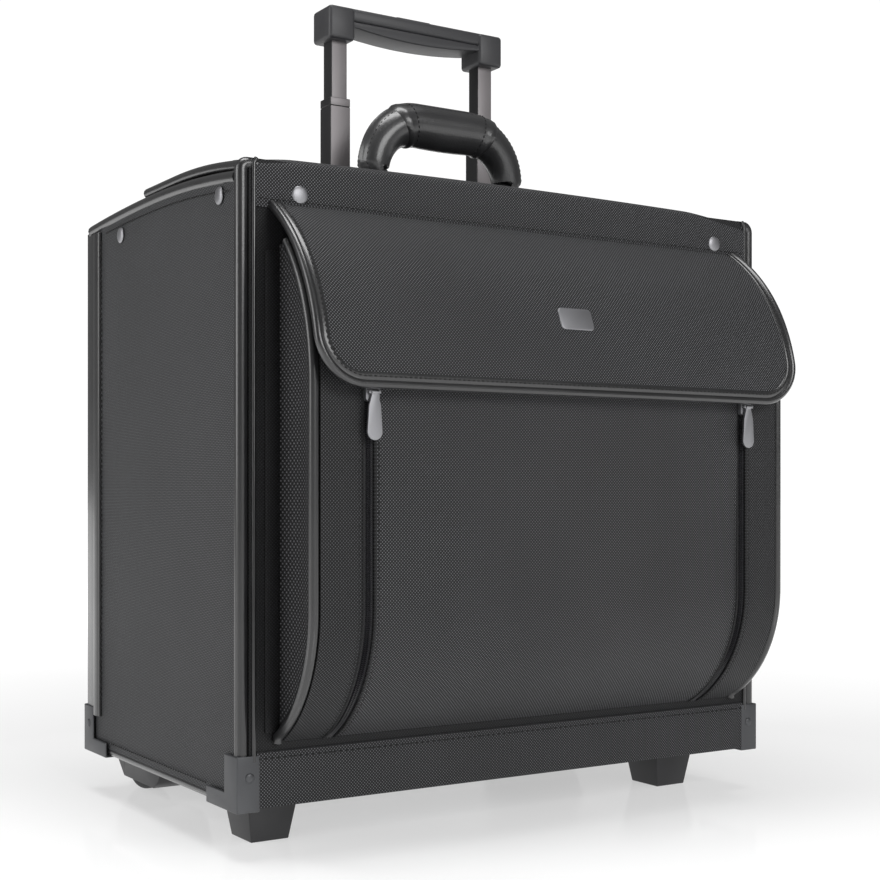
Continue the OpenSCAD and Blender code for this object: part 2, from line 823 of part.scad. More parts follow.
// The padded arch: tabs round the pins, legs, bends and the bar between them
module grab_handle() {
    x = handle_span / 2;
    color(leather) translate([0, pivot_y, 0]) union() {
        both_sides() {
            difference() {
                union() {
                    rod_x(x - tab_half_w, x + tab_half_w, 0, pivot_z, tab_r);
                    box([x - tab_half_w, x + tab_half_w], [-tab_r, tab_r], [pivot_z, pivot_z + 12]);
                }
                rod_x(x - tab_half_w - 1, x + tab_half_w + 1, 0, pivot_z, pivot_r + run);
            }
            translate([x, 0, pivot_z + 12]) cylinder(h = bar_z - handle_bend - pivot_z - 12, r = leg_r);
            translate([x - handle_bend, 0, bar_z - handle_bend]) rotate([90, 0, 0])
                rotate_extrude(angle = 90) translate([handle_bend, 0]) circle(r = leg_r);
        }
        rod_x(-x + handle_bend, x - handle_bend, 0, bar_z, handle_grip_r);
    }
}

module trolley_mid_tubes() {
    color(alloy) at_tubes()
        square_tube(mid_tube_w, mid_tube_w - 2 * tube_t, mid_top - mid_tube_l, mid_top - collar_h);
}

module mid_tube_collars() {
    color(plastic) at_tubes()
        square_tube(mid_tube_w, top_tube_w + 2 * tube_room, mid_top - collar_h, mid_top);
}

module trolley_top_tubes() {
    color(alloy) at_tubes()
        square_tube(top_tube_w, top_tube_w - 2 * tube_t, grip_low - top_tube_l,
            grip_low + tube_seat);
}

module grip_body(z_low, z_top) {
    box([-grip_half_w, grip_half_w], [tube_yc - grip_d / 2, tube_yc + grip_d / 2], [z_low, z_top]);
}

// The grip's top shell, with a pocket for the button
module grip_upper() {
    color(plastic) difference() {
        grip_body(grip_top - grip_shell_h, grip_top);
        box([-button_l / 2 - gap, button_l / 2 + gap],
            [tube_yc - button_w / 2 - gap, tube_yc + button_w / 2 + gap],
            [grip_top - grip_shell_h + 0.5, grip_top + 1]);
    }
}

// The grip's lower shell: a block on each tube and a belly between them
module grip_lower() {
    inner = grip_half_w - grip_block_w;
    low = grip_top - grip_shell_h;
    sag = grip_belly - grip_belly_end;
    belly_r = (inner * inner + sag * sag) / (2 * sag);
    color(plastic) difference() {
        along_y(tube_yc - grip_d / 2, tube_yc + grip_d / 2)
            polygon(concat([[-grip_half_w, low], [-grip_half_w, grip_low], [-inner, grip_low]],
                arc([0, low - grip_belly + belly_r], belly_r,
                    270 - asin(inner / belly_r), 270 + asin(inner / belly_r)),
                [[inner, grip_low], [grip_half_w, grip_low], [grip_half_w, low]]));
        at_tubes() translate([-top_tube_w / 2, -top_tube_w / 2, grip_low - 1])
            cube([top_tube_w, top_tube_w, tube_seat + 1]);
    }
}

module release_button() {
    color(plastic) box([-button_l / 2, button_l / 2],
        [tube_yc - button_w / 2, tube_yc + button_w / 2],
        [grip_top - button_deep, grip_top + button_proud]);
}

bottom_panel();
front_panel();
back_panel();
side_panel(-1);  // left_panel
side_panel(1);  // right_panel
edge_pipings();
rim_frame();
rim_rivets();
corner_guards();
guard_rivets();
foot(-1);  // foot_left
foot(1);  // foot_right
wheel_housing(-1);  // wheel_housing_left
wheel_housing(1);  // wheel_housing_right
wheel_axles();
trolley_outer_tubes();
trolley_bezel();
trolley_base();
divider_front();
divider_rear();
pocket_side(-1);  // pocket_side_left
pocket_side(1);  // pocket_side_right
pocket_front();
pocket_pipings();
zippers();
floor_pad();
laptop_sleeve();
file_dividers();
front_lid_panel();
front_lid_piping();
lock_bodies();
handle_mounts();
grab_handle();
rear_lid_panel();
lock_catches();
flap_panel();
flap_binding();
flap_badge();
trolley_mid_tubes();
mid_tube_collars();
trolley_top_tubes();
grip_upper();
grip_lower();
release_button();
zip_slider(-1);  // zip_slider_left
zip_pull(-1);  // zip_pull_left
zip_slider(1);  // zip_slider_right
zip_pull(1);  // zip_pull_right
tyre(-1);  // tyre_left
hub(-1);  // hub_left
tyre(1);  // tyre_right
hub(1);  // hub_right
dial(-1, 0);  // dial_left_1
dial(-1, 1);  // dial_left_2
dial(-1, 2);  // dial_left_3
dial(1, 0);  // dial_right_1
dial(1, 1);  // dial_right_2
dial(1, 2);  // dial_right_3
lock_button(-1);  // lock_button_left
lock_button(1);  // lock_button_right
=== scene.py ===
"""A rolling flight case: a stiff nylon-covered box with leather edges, a zipped front pocket
under a bound flap, two lids, a padded carry handle and a telescopic trolley."""

import json
import math

import bpy
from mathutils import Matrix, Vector, noise

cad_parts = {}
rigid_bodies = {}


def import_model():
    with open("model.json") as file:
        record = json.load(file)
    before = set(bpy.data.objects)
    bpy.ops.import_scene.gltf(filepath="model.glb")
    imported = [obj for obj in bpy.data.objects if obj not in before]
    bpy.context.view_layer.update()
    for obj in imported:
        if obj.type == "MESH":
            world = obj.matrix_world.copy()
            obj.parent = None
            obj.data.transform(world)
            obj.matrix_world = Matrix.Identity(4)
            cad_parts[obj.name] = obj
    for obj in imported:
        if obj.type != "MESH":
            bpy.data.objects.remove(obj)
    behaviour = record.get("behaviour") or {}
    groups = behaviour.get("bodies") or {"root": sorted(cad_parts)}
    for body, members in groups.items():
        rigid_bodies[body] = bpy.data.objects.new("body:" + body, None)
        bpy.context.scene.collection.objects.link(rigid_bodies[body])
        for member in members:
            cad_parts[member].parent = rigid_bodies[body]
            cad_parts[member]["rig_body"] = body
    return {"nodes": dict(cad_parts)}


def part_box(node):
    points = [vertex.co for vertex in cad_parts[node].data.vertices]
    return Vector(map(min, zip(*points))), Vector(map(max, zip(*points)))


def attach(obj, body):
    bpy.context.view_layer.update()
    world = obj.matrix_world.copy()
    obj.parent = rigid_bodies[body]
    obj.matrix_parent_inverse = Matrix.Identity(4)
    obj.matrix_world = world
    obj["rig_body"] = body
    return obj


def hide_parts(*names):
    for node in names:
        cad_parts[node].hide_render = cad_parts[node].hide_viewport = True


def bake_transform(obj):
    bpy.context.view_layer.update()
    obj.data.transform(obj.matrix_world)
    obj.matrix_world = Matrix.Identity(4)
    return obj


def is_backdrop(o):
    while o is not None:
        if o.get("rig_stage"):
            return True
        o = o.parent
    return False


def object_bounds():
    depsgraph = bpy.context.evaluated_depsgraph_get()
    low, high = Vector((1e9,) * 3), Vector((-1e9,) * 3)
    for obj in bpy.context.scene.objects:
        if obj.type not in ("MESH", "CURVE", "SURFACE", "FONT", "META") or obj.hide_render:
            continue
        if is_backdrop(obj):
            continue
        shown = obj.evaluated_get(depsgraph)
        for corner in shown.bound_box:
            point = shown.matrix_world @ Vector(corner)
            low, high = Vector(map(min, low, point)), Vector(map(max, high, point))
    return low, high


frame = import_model()
cad_low, cad_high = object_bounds()

# Studio: a pale glossy floor under a white sky, with soft lights from the left, the front
# and above. The floor gives a little light of its own, more of it further from the case.
bpy.ops.object.select_all(action="DESELECT")
bpy.ops.mesh.primitive_plane_add(size=30, location=(0, 0, 0))
floor = bpy.context.object
floor.name = "studio_floor"
floor_paint = bpy.data.materials.new("studio_floor")
floor_paint.use_nodes = True
paint = floor_paint.node_tree.nodes["Principled BSDF"]
paint.inputs["Base Color"].default_value = (0.8, 0.8, 0.8, 1)
paint.inputs["Roughness"].default_value = 0.08
paint.inputs["Specular IOR Level"].default_value = 0.9
paint.inputs["Emission Color"].default_value = (1, 1, 1, 1)
nodes, links = floor_paint.node_tree.nodes, floor_paint.node_tree.links
spot = nodes.new("ShaderNodeTexCoord")
reach = nodes.new("ShaderNodeVectorMath")
reach.operation = "LENGTH"
glow = nodes.new("ShaderNodeMapRange")
for socket, value in (("From Min", 0.45), ("From Max", 1.5), ("To Min", 0.48), ("To Max", 0.95)):
    glow.inputs[socket].default_value = value
links.new(spot.outputs["Object"], reach.inputs[0])
links.new(reach.outputs["Value"], glow.inputs["Value"])
links.new(glow.outputs["Result"], paint.inputs["Emission Strength"])
floor.data.materials.append(floor_paint)
floor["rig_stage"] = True

sky = bpy.data.worlds.new("studio_sky")
bpy.context.scene.world = sky
sky.use_nodes = True
sky_light = sky.node_tree.nodes["Background"]
sky_light.inputs["Color"].default_value = (1, 1, 1, 1)
seen = sky.node_tree.nodes.new("ShaderNodeLightPath")
strength = sky.node_tree.nodes.new("ShaderNodeMapRange")
strength.inputs["To Min"].default_value = 0.16
strength.inputs["To Max"].default_value = 1.05
sky.node_tree.links.new(seen.outputs["Is Camera Ray"], strength.inputs["Value"])
sky.node_tree.links.new(strength.outputs["Result"], sky_light.inputs["Strength"])
bpy.context.scene.view_settings.view_transform = "Standard"

case_centre = Vector((0, 0, (cad_low.z + cad_high.z) / 2))
for light_name, place, size, power in (
    ("left_softbox", (-2.3, 0.3, 1.1), (1.2, 1.6), 24),
    ("front_softbox", (0.3, -2.6, 1.3), (1.6, 1.0), 34),
    ("top_softbox", (-0.2, -0.2, 2.4), (1.6, 0.8), 30),
):
    bpy.ops.object.light_add(type="AREA", location=place)
    lamp = bpy.context.object
    lamp.name = light_name
    lamp.data.shape = "RECTANGLE"
    lamp.data.size, lamp.data.size_y = size
    lamp.data.energy = power
    lamp.rotation_euler = (case_centre - lamp.location).to_track_quat("-Z", "Y").to_euler()

camera_heading = math.radians(-32.5)
bpy.ops.object.camera_add(
    location=(-0.5786, -0.9099, 0.2198), rotation=(math.pi / 2, 0, camera_heading)
)
camera = bpy.context.object
camera.data.lens = 61.16
camera.data.sensor_width = 36
camera.data.shift_y = 0.0568
bpy.context.scene.camera = camera

# Side walls: stiff boards 5 mm thick, covered in woven nylon outside and a plain lining
# inside. The cover is pulled over the board, so it crowns a little and waves very slightly.
front_y, back_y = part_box("front_panel")[0].y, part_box("back_panel")[1].y
base_z, rim_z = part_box("front_panel")[0].z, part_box("front_panel")[1].z
side_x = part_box("right_panel")[1].x
BOARD = 0.005
WALL_CROWN = 0.0012
WALL_WAVE = 0.00035
WEAVE_PITCH = 0.0021


def rgb(red, green, blue):
    return (red, green, blue, 1)


def mix_colours(nodes, links, factor, dark, light):
    """A colour mix between two fixed colours, by the factor socket."""
    mix = nodes.new("ShaderNodeMix")
    mix.data_type = "RGBA"
    mix.inputs[6].default_value = dark
    mix.inputs[7].default_value = light
    links.new(factor, mix.inputs[0])
    return mix.outputs[2]


def reckon(nodes, links, operation, *terms):
    """A math node on sockets and numbers; returns its result."""
    node = nodes.new("ShaderNodeMath")
    node.operation = operation
    for i, term in enumerate(terms):
        if isinstance(term, (int, float)):
            node.inputs[i].default_value = term
        else:
            links.new(term, node.inputs[i])
    return node.outputs[0]


def mottle(nodes, links, scale, detail=2.0):
    """Slow cloudy variation over a piece, from its object coordinates."""
    place = nodes.new("ShaderNodeTexCoord")
    cloud = nodes.new("ShaderNodeTexNoise")
    cloud.inputs["Scale"].default_value = scale
    cloud.inputs["Detail"].default_value = detail
    links.new(place.outputs["Object"], cloud.inputs["Vector"])
    return cloud.outputs["Fac"]


def nylon(name, dark, light, pitch=WEAVE_PITCH, roughness=0.5, relief=0.00035):
    """Woven nylon: a dark ground with a painted highlight on each thread crown, laid along the UV
    map in metres.
    """
    cloth = bpy.data.materials.new(name)
    cloth.use_nodes = True
    nodes, links = cloth.node_tree.nodes, cloth.node_tree.links
    shader = nodes["Principled BSDF"]
    uv = nodes.new("ShaderNodeUVMap")
    uv.uv_map = "weave"
    split = nodes.new("ShaderNodeSeparateXYZ")
    links.new(uv.outputs["UV"], split.inputs[0])
    turns = 2 * math.pi / pitch
    threads = [
        reckon(nodes, links, "SINE", reckon(nodes, links, "MULTIPLY", split.outputs[i], turns))
        for i in (0, 1)
    ]
    crowns = reckon(nodes, links, "MULTIPLY", *threads)
    height = reckon(nodes, links, "MULTIPLY_ADD", crowns, 0.5, 0.5)
    raised = reckon(nodes, links, "POWER", height, 5.0)
    patchy = reckon(nodes, links, "MULTIPLY_ADD", mottle(nodes, links, 9), 0.5, 0.75)
    shown = reckon(nodes, links, "MULTIPLY", raised, patchy)
    # Painted highlight: the thread crowns take the lighter colour, for the glints of light on the
    # weave; the mottle varies how bright they are.
    links.new(mix_colours(nodes, links, shown, dark, light), shader.inputs["Base Color"])
    rough = reckon(nodes, links, "MULTIPLY_ADD", raised, -0.16, roughness + 0.1)
    links.new(rough, shader.inputs["Roughness"])
    shader.inputs["Specular IOR Level"].default_value = 0.3
    shader.inputs["Sheen Weight"].default_value = 0.03
    bump = nodes.new("ShaderNodeBump")
    bump.inputs["Strength"].default_value = 0.8
    bump.inputs["Distance"].default_value = relief
    links.new(height, bump.inputs["Height"])
    links.new(bump.outputs["Normal"], shader.inputs["Normal"])
    return cloth


def plain_cloth(name, dark, light, scale=900, roughness=0.85):
    """Brushed lining cloth with a short even nap."""
    cloth = bpy.data.materials.new(name)
    cloth.use_nodes = True
    nodes, links = cloth.node_tree.nodes, cloth.node_tree.links
    shader = nodes["Principled BSDF"]
    nap = mottle(nodes, links, scale, 3)
    slow = mottle(nodes, links, 14)
    links.new(
        mix_colours(nodes, links, reckon(nodes, links, "MULTIPLY", nap, slow), dark, light),
        shader.inputs["Base Color"],
    )
    shader.inputs["Roughness"].default_value = roughness
    shader.inputs["Sheen Weight"].default_value = 0.25
    bump = nodes.new("ShaderNodeBump")
    bump.inputs["Strength"].default_value = 0.5
    bump.inputs["Distance"].default_value = 0.0004
    links.new(nap, bump.inputs["Height"])
    links.new(bump.outputs["Normal"], shader.inputs["Normal"])
    return cloth


def take(piece):
    """Makes one object the only selected one, ready for an operator."""
    bpy.ops.object.select_all(action="DESELECT")
    piece.select_set(True)
    bpy.context.view_layer.objects.active = piece


def grid(columns, rows, place):
    """A grid whose vertex at u across and v up, both 0 to 1, lies at place(u, v)."""
    bpy.ops.object.select_all(action="DESELECT")
    bpy.ops.mesh.primitive_grid_add(x_subdivisions=columns, y_subdivisions=rows, size=1)
    piece = bpy.context.object
    for vertex in piece.data.vertices:
        vertex.co = place(vertex.co.x + 0.5, vertex.co.y + 0.5)
    return piece


def lay_weave(piece, lay=None):
    """Writes the weave's UV map in metres: lay(point), or the two axes each face spans most."""
    mesh = piece.data
    for layer in list(mesh.uv_layers):
        mesh.uv_layers.remove(layer)
    layer = mesh.uv_layers.new(name="weave")
    for face in mesh.polygons:
        widest = max(range(3), key=lambda i: abs(face.normal[i]))
        first, second = ((1, 2), (0, 2), (0, 1))[widest]
        for corner in face.loop_indices:
            point = mesh.vertices[mesh.loops[corner].vertex_index].co
            layer.data[corner].uv = lay(point) if lay else (point[first], point[second])


def thicken(piece, thickness, lined=False, even=True):
    """Gives a sheet its wall, inwards from its outer face, with the lining as second material."""
    take(piece)
    wall = piece.modifiers.new("wall", "SOLIDIFY")
    wall.thickness = thickness
    wall.offset = -1
    wall.use_even_offset = even
    wall.material_offset = 1 if lined else 0
    bpy.ops.object.modifier_apply(modifier=wall.name)


def smooth(piece, degrees=35):
    take(piece)
    bpy.ops.object.shade_smooth_by_angle(angle=math.radians(degrees))


def fit(piece, name, materials, slot, body, *nodes):
    """Names a finished piece, dresses it, and lets it ride on its body in place of CAD nodes.
    A piece given None for its body is left on no body."""
    piece.name = piece.data.name = name
    kept = [materials] if isinstance(materials, bpy.types.Material) else materials
    while len(piece.data.materials) < len(kept):
        piece.data.materials.append(kept[len(piece.data.materials)])
    for i, material in enumerate(kept):
        piece.data.materials[i] = material
    if body:
        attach(piece, body)
    if nodes:
        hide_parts(*nodes)
    return piece


# The lighter colour of each nylon is a painted highlight on its thread crowns; the darker one is
# the cloth.
case_nylon = nylon("case_nylon", rgb(0.0010, 0.0010, 0.0013), rgb(0.215, 0.218, 0.232))
case_lining = plain_cloth("case_lining", rgb(0.10, 0.10, 0.11), rgb(0.25, 0.25, 0.27))

wall_low, wall_high = base_z + 0.004, rim_z - 0.004
FRONT_DIP, BACK_DIP = 0.0085, 0.004


def rim_dip(y):
    """How far the side walls' arched top edge lies below its highest point."""
    middle = (front_y + back_y) / 2
    share = (y - middle) / (back_y - middle)
    return (BACK_DIP if share > 0 else FRONT_DIP) * share * share


for hand, side in (("left", -1), ("right", 1)):
    def wall_point(u, v, side=side):
        share = u if side > 0 else 1 - u
        y = front_y + 0.004 + (back_y - front_y - 0.008) * share
        z = wall_low + (wall_high - rim_dip(y) - wall_low) * v
        crown = WALL_CROWN * math.sin(math.pi * u) ** 0.6 * math.sin(math.pi * v) ** 0.6
        wave = WALL_WAVE * noise.noise(Vector((y * 14, z * 9, side * 3.0)))
        return Vector((side * (side_x - 0.0012 + crown + wave), y, z))

    wall = grid(56, 80, wall_point)
    thicken(wall, BOARD - 0.0012, lined=True)
    lay_weave(wall)
    smooth(wall)
    fit(wall, hand + "_wall", [case_nylon, case_lining], "fabric", "case", hand + "_panel")

# Leather edging: rolled welts over the corners, with a flat strip and a second thin ridge
# sewn to the faces beside them. Each run is a separate length of stuffed leather tube.
WELT_R = 0.0042
RIDGE_R = 0.0015
GUARD_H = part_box("corner_guards")[1].z - base_z
STRIP_T = 0.0009


def hide(name, dark, light, roughness=0.38, grain=1100, relief=0.00025):
    """Black coated leather: fine pebbled grain and a soft gloss that varies a little."""
    skin = bpy.data.materials.new(name)
    skin.use_nodes = True
    nodes, links = skin.node_tree.nodes, skin.node_tree.links
    shader = nodes["Principled BSDF"]
    place = nodes.new("ShaderNodeTexCoord")
    pebble = nodes.new("ShaderNodeTexVoronoi")
    pebble.feature = "SMOOTH_F1"
    pebble.inputs["Scale"].default_value = grain
    links.new(place.outputs["Object"], pebble.inputs["Vector"])
    slow = mottle(nodes, links, 26)
    links.new(mix_colours(nodes, links, slow, dark, light), shader.inputs["Base Color"])
    links.new(
        reckon(nodes, links, "MULTIPLY_ADD", slow, 0.22, roughness - 0.11),
        shader.inputs["Roughness"],
    )
    shader.inputs["Coat Weight"].default_value = 0.75
    shader.inputs["Coat Roughness"].default_value = 0.2
    bump = nodes.new("ShaderNodeBump")
    bump.inputs["Strength"].default_value = 0.45
    bump.inputs["Distance"].default_value = relief
    links.new(pebble.outputs["Distance"], bump.inputs["Height"])
    links.new(bump.outputs["Normal"], shader.inputs["Normal"])
    return skin


def tube(route, radius, swell=None, sides=4):
    """A round tube along a route of points; swell(share) scales its radius on the way."""
    line = bpy.data.curves.new("tube", "CURVE")
    line.dimensions = "3D"
    line.bevel_depth = radius
    line.bevel_resolution = sides
    line.use_fill_caps = True
    spline = line.splines.new("POLY")
    spline.points.add(len(route) - 1)
    for i, (point, place) in enumerate(zip(spline.points, route)):
        point.co = (*place, 1)
        point.radius = swell(i / (len(route) - 1)) if swell else 1
    piece = bpy.data.objects.new("tube", line)
    bpy.context.collection.objects.link(piece)
    take(piece)
    bpy.ops.object.convert(target="MESH")
    piece = bpy.context.object
    bpy.ops.object.mode_set(mode="EDIT")
    bpy.ops.mesh.select_all(action="SELECT")
    bpy.ops.mesh.remove_doubles(threshold=0.00001)
    bpy.ops.mesh.normals_make_consistent(inside=False)
    bpy.ops.object.mode_set(mode="OBJECT")
    smooth(piece, 50)
    return piece


def slab(low, high, bevel):
    """A flat strip or block between two corners, with rounded edges."""
    low, high = Vector(low), Vector(high)
    bpy.ops.object.select_all(action="DESELECT")
    bpy.ops.mesh.primitive_cube_add(size=1, location=(low + high) / 2, scale=high - low)
    piece = bpy.context.object
    bpy.ops.object.transform_apply(location=True, rotation=True, scale=True)
    bpy.ops.object.mode_set(mode="EDIT")
    bpy.ops.mesh.select_all(action="SELECT")
    bpy.ops.mesh.bevel(offset=bevel, segments=3, affect="EDGES")
    bpy.ops.object.mode_set(mode="OBJECT")
    smooth(piece)
    return piece


def join(pieces):
    """Joins finished pieces into the first of them."""
    bpy.ops.object.select_all(action="DESELECT")
    for piece in pieces:
        piece.select_set(True)
    bpy.context.view_layer.objects.active = pieces[0]
    bpy.ops.object.join()
    return bpy.context.object


def arc(centre, radius, start, end, steps=12):
    """Points of an arc in a plane, angles in degrees."""
    turns = [math.radians(start + (end - start) * i / steps) for i in range(steps + 1)]
    return [(centre[0] + radius * math.cos(a), centre[1] + radius * math.sin(a)) for a in turns]


welt_leather = hide("welt_leather", rgb(0.005, 0.005, 0.0055), rgb(0.013, 0.013, 0.014))

for hand, side in (("left", -1), ("right", 1)):
    x = side * (side_x - WELT_R + 0.0006)
    foot_z, head_z = base_z + GUARD_H - 0.004, rim_z - WELT_R - 0.004
    front = front_y + WELT_R - 0.0006
    over = [
        (x - side * 0.004 + side * 0.004 * math.cos(a), front, head_z + 0.004 * math.sin(a))
        for a in (math.radians(15 * i) for i in range(7))
    ]
    corner = tube([(x, front, foot_z), *over, (x - side * 0.009, front, head_z + 0.004)], WELT_R)
    fit(corner, hand + "_front_corner_welt", welt_leather, "leather", "case")

    ridge_x = side * (side_x - 2 * WELT_R - RIDGE_R)
    ridge = tube(
        [(ridge_x, front_y - 0.0004, foot_z), (ridge_x, front_y - 0.0004, rim_z - 0.004),
         (ridge_x - side * 0.002, front_y, rim_z - 0.001)], RIDGE_R)
    fit(ridge, hand + "_front_corner_ridge", welt_leather, "leather", "case")

    back = back_y - WELT_R + 0.0006
    rear = tube([(x, back, foot_z), (x, back, rim_z - WELT_R - BACK_DIP - 0.002)], WELT_R)
    roll = tube(
        [(x, back_y - 0.0215, foot_z - 0.002), (x, back_y - 0.0215, rim_z - 0.012)], 0.0068
    )
    for vertex in roll.data.vertices:
        vertex.co.x = side * (side_x - 0.0002) + (vertex.co.x - x) * 0.3
    strip = slab(
        (min(side * side_x, side * (side_x + STRIP_T)), back_y - 0.028, foot_z - 0.002),
        (max(side * side_x, side * (side_x + STRIP_T)), back_y - 0.004, rim_z - 0.012),
        STRIP_T * 0.4,
    )
    fit(join([rear, roll, strip]), hand + "_back_corner_welt", welt_leather, "leather", "case")

    steps = 30
    run = [front_y + 0.007 + (back_y - front_y - 0.011) * i / steps for i in range(steps + 1)]
    top = tube([(x, y, rim_z - WELT_R - rim_dip(y)) for y in run], WELT_R)
    low = tube(
        [(x, front_y + 0.02, base_z + 0.0026), (x, back_y - 0.02, base_z + 0.0026)], 0.003
    )
    fit(join([top, low]), hand + "_side_welt", welt_leather, "leather", "case")

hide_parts("edge_pipings")

# Front face: a nylon-covered board, with a folded nylon band sewn over its foot and one
# over its head. The head band runs on over the lid's round nose as the lid's cloth hinge.
BAND_T = 0.0013
HEM = 0.0006
band_low_top = base_z + 0.0335
band_high_low = base_z + 0.3565
lid_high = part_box("front_lid_panel")[1]
face_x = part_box("front_panel")[1].x

face = grid(
    40, 60,
    lambda u, v: Vector((face_x * (2 * u - 1), front_y, base_z + (rim_z - base_z - 0.001) * v)),
)
thicken(face, BOARD, lined=True)
lay_weave(face)
smooth(face)
# Painted shade: a darker copy of the case nylon, for the front wall in shadow beside the pocket,
# the folds beside the zips and the gusset flanges.
painted_shade_nylon = nylon("painted_shade_nylon", rgb(0.001, 0.001, 0.0012), rgb(0.034, 0.035, 0.040))
fit(face, "front_wall", [painted_shade_nylon, case_lining], "fabric", "case", "front_panel")


def profile_sheet(columns, half_width, route):
    """A sheet across the case that follows a route of (y, z) points from its foot to its head."""
    def place(u, v):
        y, z = route[round(v * (len(route) - 1))]
        return Vector((half_width * (2 * u - 1), y, z))

    return grid(columns, len(route) - 1, place)


band_face_y = front_y - BAND_T
band_half = side_x - 2 * WELT_R - 2 * RIDGE_R - 0.0005
low_band = slab(
    (-band_half, band_face_y, base_z + 0.0002), (band_half, front_y + 0.001, band_low_top), HEM
)
lay_weave(low_band)
fit(low_band, "foot_band", case_nylon, "fabric", "case")

NOSE_R = 0.0065
NOSE_TAPER = 0.0028
CROWN_DROP, END_DROP = 0.0025, 0.0025
LID_RISE_D = 0.110
nose_z = lid_high.z - 0.0046 - NOSE_R


def nose_drop(x):
    """How far the front top edge lies below its middle: it falls away towards its ends."""
    ends = max(0.0, min(1.0, (abs(x) - 0.165) / 0.035))
    right = max(0.0, min(1.0, (x - 0.140) / 0.044))
    fall = END_DROP * ends * ends * (3 - 2 * ends)
    fall += NOSE_TAPER * right * right * (3 - 2 * right)
    return fall + CROWN_DROP * (x / side_x) ** 2


def lid_crown(x, y):
    """The front lid's upper face: it rises from the front edge in a shallow arch."""
    share = max(0.0, min(1.0, 1 - (y - front_y) / LID_RISE_D))
    return lid_high.z - 0.0006 - (0.0040 + nose_drop(x)) / 0.885 * share * share


route = [(band_face_y, band_high_low + (nose_z - band_high_low) * i / 14) for i in range(14)]
route += arc((band_face_y + NOSE_R, nose_z), NOSE_R, 180, 90, 10)
route += [(band_face_y + NOSE_R + 0.004 * i, nose_z + NOSE_R) for i in range(1, 7)]
head_band = profile_sheet(96, band_half + 0.002, route)
for vertex in head_band.data.vertices:
    held = max(0.0, min(1.0, (vertex.co.z - rim_z + 0.020) / 0.018))
    vertex.co.z -= nose_drop(vertex.co.x) * held
    if vertex.co.y > band_face_y + NOSE_R + 0.001:
        vertex.co.z = lid_crown(vertex.co.x, vertex.co.y) + 0.0009
thicken(head_band, 0.0022)
lay_weave(head_band, lambda p: (p.x, p.z - min(0.0, front_y - p.y) * (p.z > nose_z)))
smooth(head_band, 50)
fit(head_band, "head_band", case_nylon, "fabric", None)
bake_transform(head_band)

# Rows of stitching: short waxed threads that lie in the cloth a few millimetres apart.
# One thread is modelled and laid again along the row.
STITCH_L, STITCH_R, STITCH_PITCH = 0.0026, 0.00055, 0.0039


def walk(route, pitch):
    """Evenly spaced places along a route, each with the direction there."""
    route = [Vector(p) for p in route]
    found, due = [], pitch / 2
    for start, end in zip(route, route[1:]):
        length = (end - start).length
        while due < length:
            found.append((start + (end - start) * (due / length), (end - start) / length))
            due += pitch
        due -= length
    return found


def sew(route, pitch=STITCH_PITCH, long=STITCH_L, radius=STITCH_R):
    """A row of threads along a route, as one mesh."""
    bpy.ops.object.select_all(action="DESELECT")
    bpy.ops.mesh.primitive_uv_sphere_add(segments=6, ring_count=4, radius=1)
    thread = bpy.context.object
    ball = [v.co.copy() for v in thread.data.vertices]
    faces = [list(f.vertices) for f in thread.data.polygons]
    bpy.data.objects.remove(thread)
    points, all_faces = [], []
    for place, heading in walk(route, pitch):
        turn = heading.to_track_quat("Z", "Y")
        first = len(points)
        for v in ball:
            points.append(place + turn @ Vector((v.x * radius, v.y * radius, v.z * long / 2)))
        all_faces += [[first + i for i in face] for face in faces]
    mesh = bpy.data.meshes.new("row")
    mesh.from_pydata(points, [], all_faces)
    row = bpy.data.objects.new("row", mesh)
    bpy.context.collection.objects.link(row)
    smooth(row, 80)
    return row


def plain(name, tone, roughness, grain=600, relief=0.0001, metallic=0.0, spread=0.12):
    """Moulded, cast or drawn material with a fine even texture and slight unevenness of gloss."""
    made = bpy.data.materials.new(name)
    made.use_nodes = True
    nodes, links = made.node_tree.nodes, made.node_tree.links
    shader = nodes["Principled BSDF"]
    slow, fine = mottle(nodes, links, 30), mottle(nodes, links, grain, 4)
    darker = rgb(*(c * 0.8 for c in tone))
    links.new(mix_colours(nodes, links, slow, darker, rgb(*tone)), shader.inputs["Base Color"])
    links.new(
        reckon(nodes, links, "MULTIPLY_ADD", slow, spread, roughness - spread / 2),
        shader.inputs["Roughness"],
    )
    shader.inputs["Metallic"].default_value = metallic
    bump = nodes.new("ShaderNodeBump")
    bump.inputs["Strength"].default_value = 0.4
    bump.inputs["Distance"].default_value = relief
    links.new(fine, bump.inputs["Height"])
    links.new(bump.outputs["Normal"], shader.inputs["Normal"])
    return made


thread_black = plain("thread_black", (0.0015, 0.0015, 0.002), 0.7)
seam_z = band_high_low + 0.0052
row_y = band_face_y - 0.0001  # the threads lie almost half in the cloth
rows = [
    sew([(-band_half, row_y, z), (band_half, row_y, z)])
    for z in (seam_z, band_low_top - 0.004)
]
fit(join(rows), "band_stitching", thread_black, "fabric", "case")
rows = []
for side in (-1, 1):
    x = side * (side_x + 0.0002)
    inset = 0.0125
    places = [front_y + 0.012 + 0.006 * i for i in range(36)]
    run = [(x, y, rim_z - inset - rim_dip(y)) for y in places]
    rows.append(sew(run, 0.0034))
    rows.append(sew([(x, front_y + 0.045, base_z + 0.0095), (x, back_y - 0.045, base_z + 0.0095)]))
    rows.append(sew([(x, back_y - 0.031, base_z + 0.04), (x, back_y - 0.031, rim_z - 0.02)]))
fit(join(rows), "wall_stitching", thread_black, "fabric", "case")

# Rivets: nickel-plated domes that hold the steel rim frame in the walls, and smaller ones
# of dark steel in the corner guards, which are pressed from sheet steel and painted.
nickel = plain("nickel", (0.33, 0.33, 0.345), 0.45, 900, 0.00003, 1.0)
guard_paint = plain("guard_paint", (0.085, 0.087, 0.092), 0.42, 1400, 0.00006, 0.55)
RIVET_R, SMALL_RIVET_R = 0.0055, 0.003


